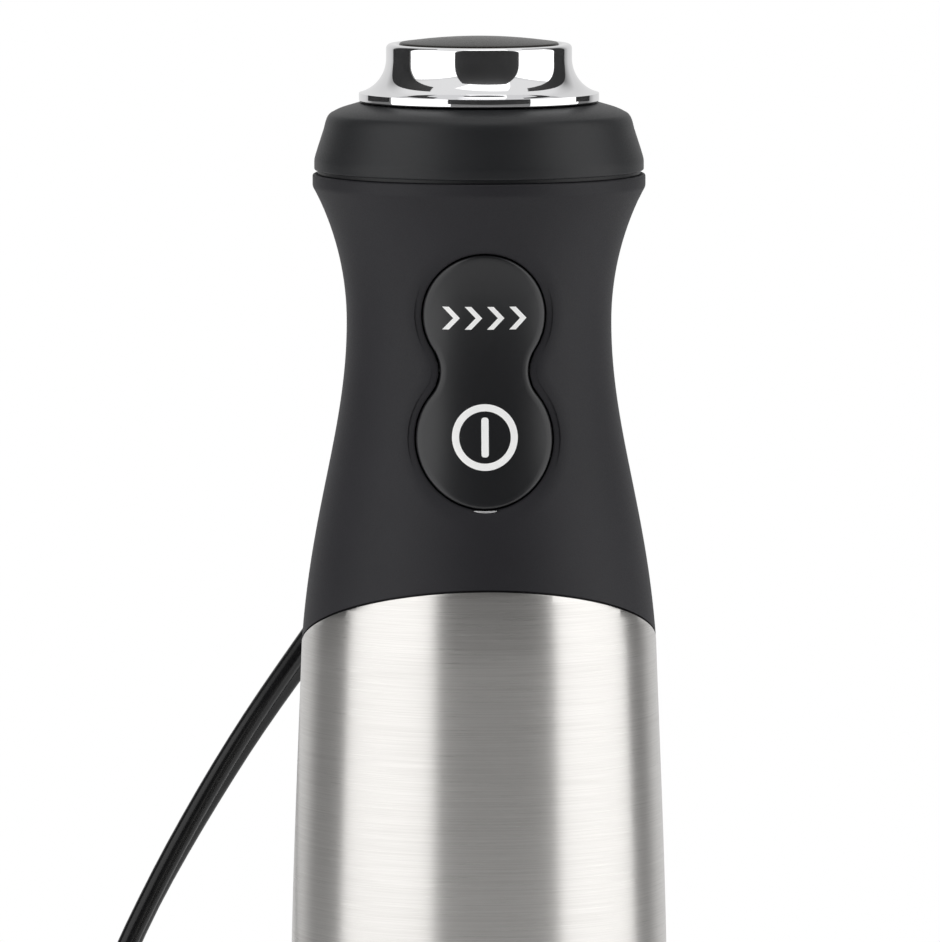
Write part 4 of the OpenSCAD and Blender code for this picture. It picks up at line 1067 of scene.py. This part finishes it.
def bladeSection(b, x):
    reach = abs(x)
    if x > 0:
        low = b["height"] + b["upRise"] * max(x - b["upBend"], 0) / (b["half"] - b["upBend"])
    else:
        low = b["height"] - b["downRise"] * max(reach - b["downBend"], 0) / (b["half"] - b["downBend"])
    high = low + b["thick"]
    tip = math.sqrt(max(1 - max((reach - b["tipStart"]) / b["tipLength"], 0) ** 2, 0.02))
    wide = (b["halfWide"] - b["taper"] * reach / b["half"]) * tip
    edge = min(max((reach - b["edgeStart"]) / 3, 0), 1)
    sharp = low + b["thick"] * (1 - b["thinned"] * edge)
    ground = b["ground"] * edge + 0.05
    if x > 0:
        return [(-wide, low), (wide - ground, low), (wide, low), (wide, sharp), (wide - ground, high),
                (-wide, high)]
    return [(-wide, low), (ground - wide, low), (wide, low), (wide, high), (ground - wide, high),
            (-wide, sharp)]


def makeBlade(b):
    # one strip bent up on one side and down on the other, ground thin along its leading edges
    end = b["half"] - 0.25
    rings = []
    for i in range(b["stations"] + 1):
        x = -end + 2 * end * i / b["stations"]
        rings.append([Vector((x, y, z)) * mm for y, z in bladeSection(b, x)])
    bm = bmesh.new()
    loft(bm, rings, True, True)
    toMesh("bladeStrip", bm, "blade_steel", "shaft", replaces=("blade",), sharp=30)
    line = [(2.52, 9.8), (6, 9.8, 0.3), (6, 12, 0.4), (4.6, 12.2, 0.3), (4.4, 17, 0.5), (2.52, 17, 0.2)]
    turnedPiece("bladeHub", line, "bright_steel", "shaft", steps=64)


makeWand(wand)
makeBell(bell)
makeBlade(blade)
print("wand made")

# The carried-over parts take the materials of their slots

unknown = set()
for name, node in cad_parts.items():
    for slot in node.material_slots:
        key = slot.material.name.split(".")[0] if slot.material else ""
        if name == "rocker_pin":
            key = "blackenedPin"
        if key in materials:
            slot.material = materials[key]
        else:
            unknown.add(key)
print("slots without a material", sorted(unknown))

# Floor, light and surroundings

# dark cards round the dial, seen only in its chrome
cardSetup = {"distance": 0.6, "low": 0.335, "high": 1.5, "spans": ((-32, 47), (-135, -97), (103, 129))}


def makeCards(c):
    bm = bmesh.new()
    for span in c["spans"]:
        corners = [bm.verts.new(placeAround(c["distance"], degrees, z)) for degrees in span
                   for z in (c["low"], c["high"])]
        bm.faces.new([corners[i] for i in (0, 2, 3, 1)])
    cards = newObject("cards", bm)
    cards.data.materials.append(materials["rubber"])
    cards.visible_camera = False
    cards.visible_diffuse = False
    cards.visible_shadow = False


def makeFloor():
    bm = bmesh.new()
    bmesh.ops.create_circle(bm, cap_ends=True, segments=96, radius=1.2)
    bmesh.ops.translate(bm, vec=(0, 0, -0.5 * mm), verts=bm.verts)
    floor = newObject("floor", bm)
    floor.data.materials.append(makeMaterial("floorPale", {
        "dark": 0.80, "light": 0.83, "patch": 3, "grain": 30, "roughness": (0.6, 0.7), "relief": 0.01,
        "depth": 0.0001, "specular": 0.2}))


lights = {
    "leftBox": {"angle": -62.5, "distance": 1.0, "height": 0.42, "aimHeight": 0.42, "size": (1.30, 1.7),
                "radiance": 1.36},
    "rightBox": {"angle": 78, "distance": 1.0, "height": 0.42, "aimHeight": 0.42, "size": (1.16, 1.7),
                 "radiance": 1.4},
    "topBox": {"angle": 20, "distance": 0.35, "height": 1.7, "aimHeight": 0.32, "size": (0.8, 0.8),
               "radiance": 0.8},
}


def makeLight(name, spec):
    data = bpy.data.lights.new(name, "AREA")
    data.shape = "RECTANGLE"
    data.size, data.size_y = spec["size"]
    data.energy = spec["radiance"] * math.pi * spec["size"][0] * spec["size"][1]
    light = bpy.data.objects.new(name, data)
    scene.collection.objects.link(light)
    light.location = placeAround(spec["distance"], spec["angle"], spec["height"])
    aim(light, (0, 0, spec["aimHeight"]))


room = {"stops": [(0.0, 0.22), (0.35, 0.22), (0.58, 0.19), (0.80, 0.21), (0.90, 0.70), (1.0, 0.78)],
        "ceilingRange": (0.42, 0.75), "ceiling": 0.85}


def makeWorld(r):
    # white where the camera looks; the room round the object is dim in front and bright behind
    world = bpy.data.worlds.new("studio")
    scene.world = world
    world.use_nodes = True
    tree = world.node_tree
    join = tree.links.new
    tree.nodes.clear()
    place = addNode(tree, "ShaderNodeTexCoord")
    split = addNode(tree, "ShaderNodeSeparateXYZ")
    join(place.outputs["Generated"], split.inputs["Vector"])
    reach = mapRange(tree, split.outputs["Y"], (-1, 1))
    wall = addRamp(tree, reach, r["stops"])
    ceiling = mapRange(tree, split.outputs["Z"], r["ceilingRange"], interpolation_type="SMOOTHSTEP")
    lift = addNode(tree, "ShaderNodeMix", data_type="RGBA")
    lift.inputs[7].default_value = (*colour(r["ceiling"]), 1)
    join(ceiling, lift.inputs[0])
    join(wall, lift.inputs[6])
    around = addNode(tree, "ShaderNodeBackground")
    join(lift.outputs[2], around.inputs["Color"])
    seen = addNode(tree, "ShaderNodeBackground")
    seen.inputs["Color"].default_value = (1, 1, 1, 1)
    path = addNode(tree, "ShaderNodeLightPath")
    mix = addNode(tree, "ShaderNodeMixShader")
    out = addNode(tree, "ShaderNodeOutputWorld")
    join(path.outputs["Is Camera Ray"], mix.inputs["Fac"])
    join(around.outputs["Background"], mix.inputs[1])
    join(seen.outputs["Background"], mix.inputs[2])
    join(mix.outputs["Shader"], out.inputs["Surface"])


makeFloor()
makeCards(cardSetup)
for lightName, lightSpec in lights.items():
    makeLight(lightName, lightSpec)
makeWorld(room)
scene.view_settings.view_transform = "Standard"
print("studio made")
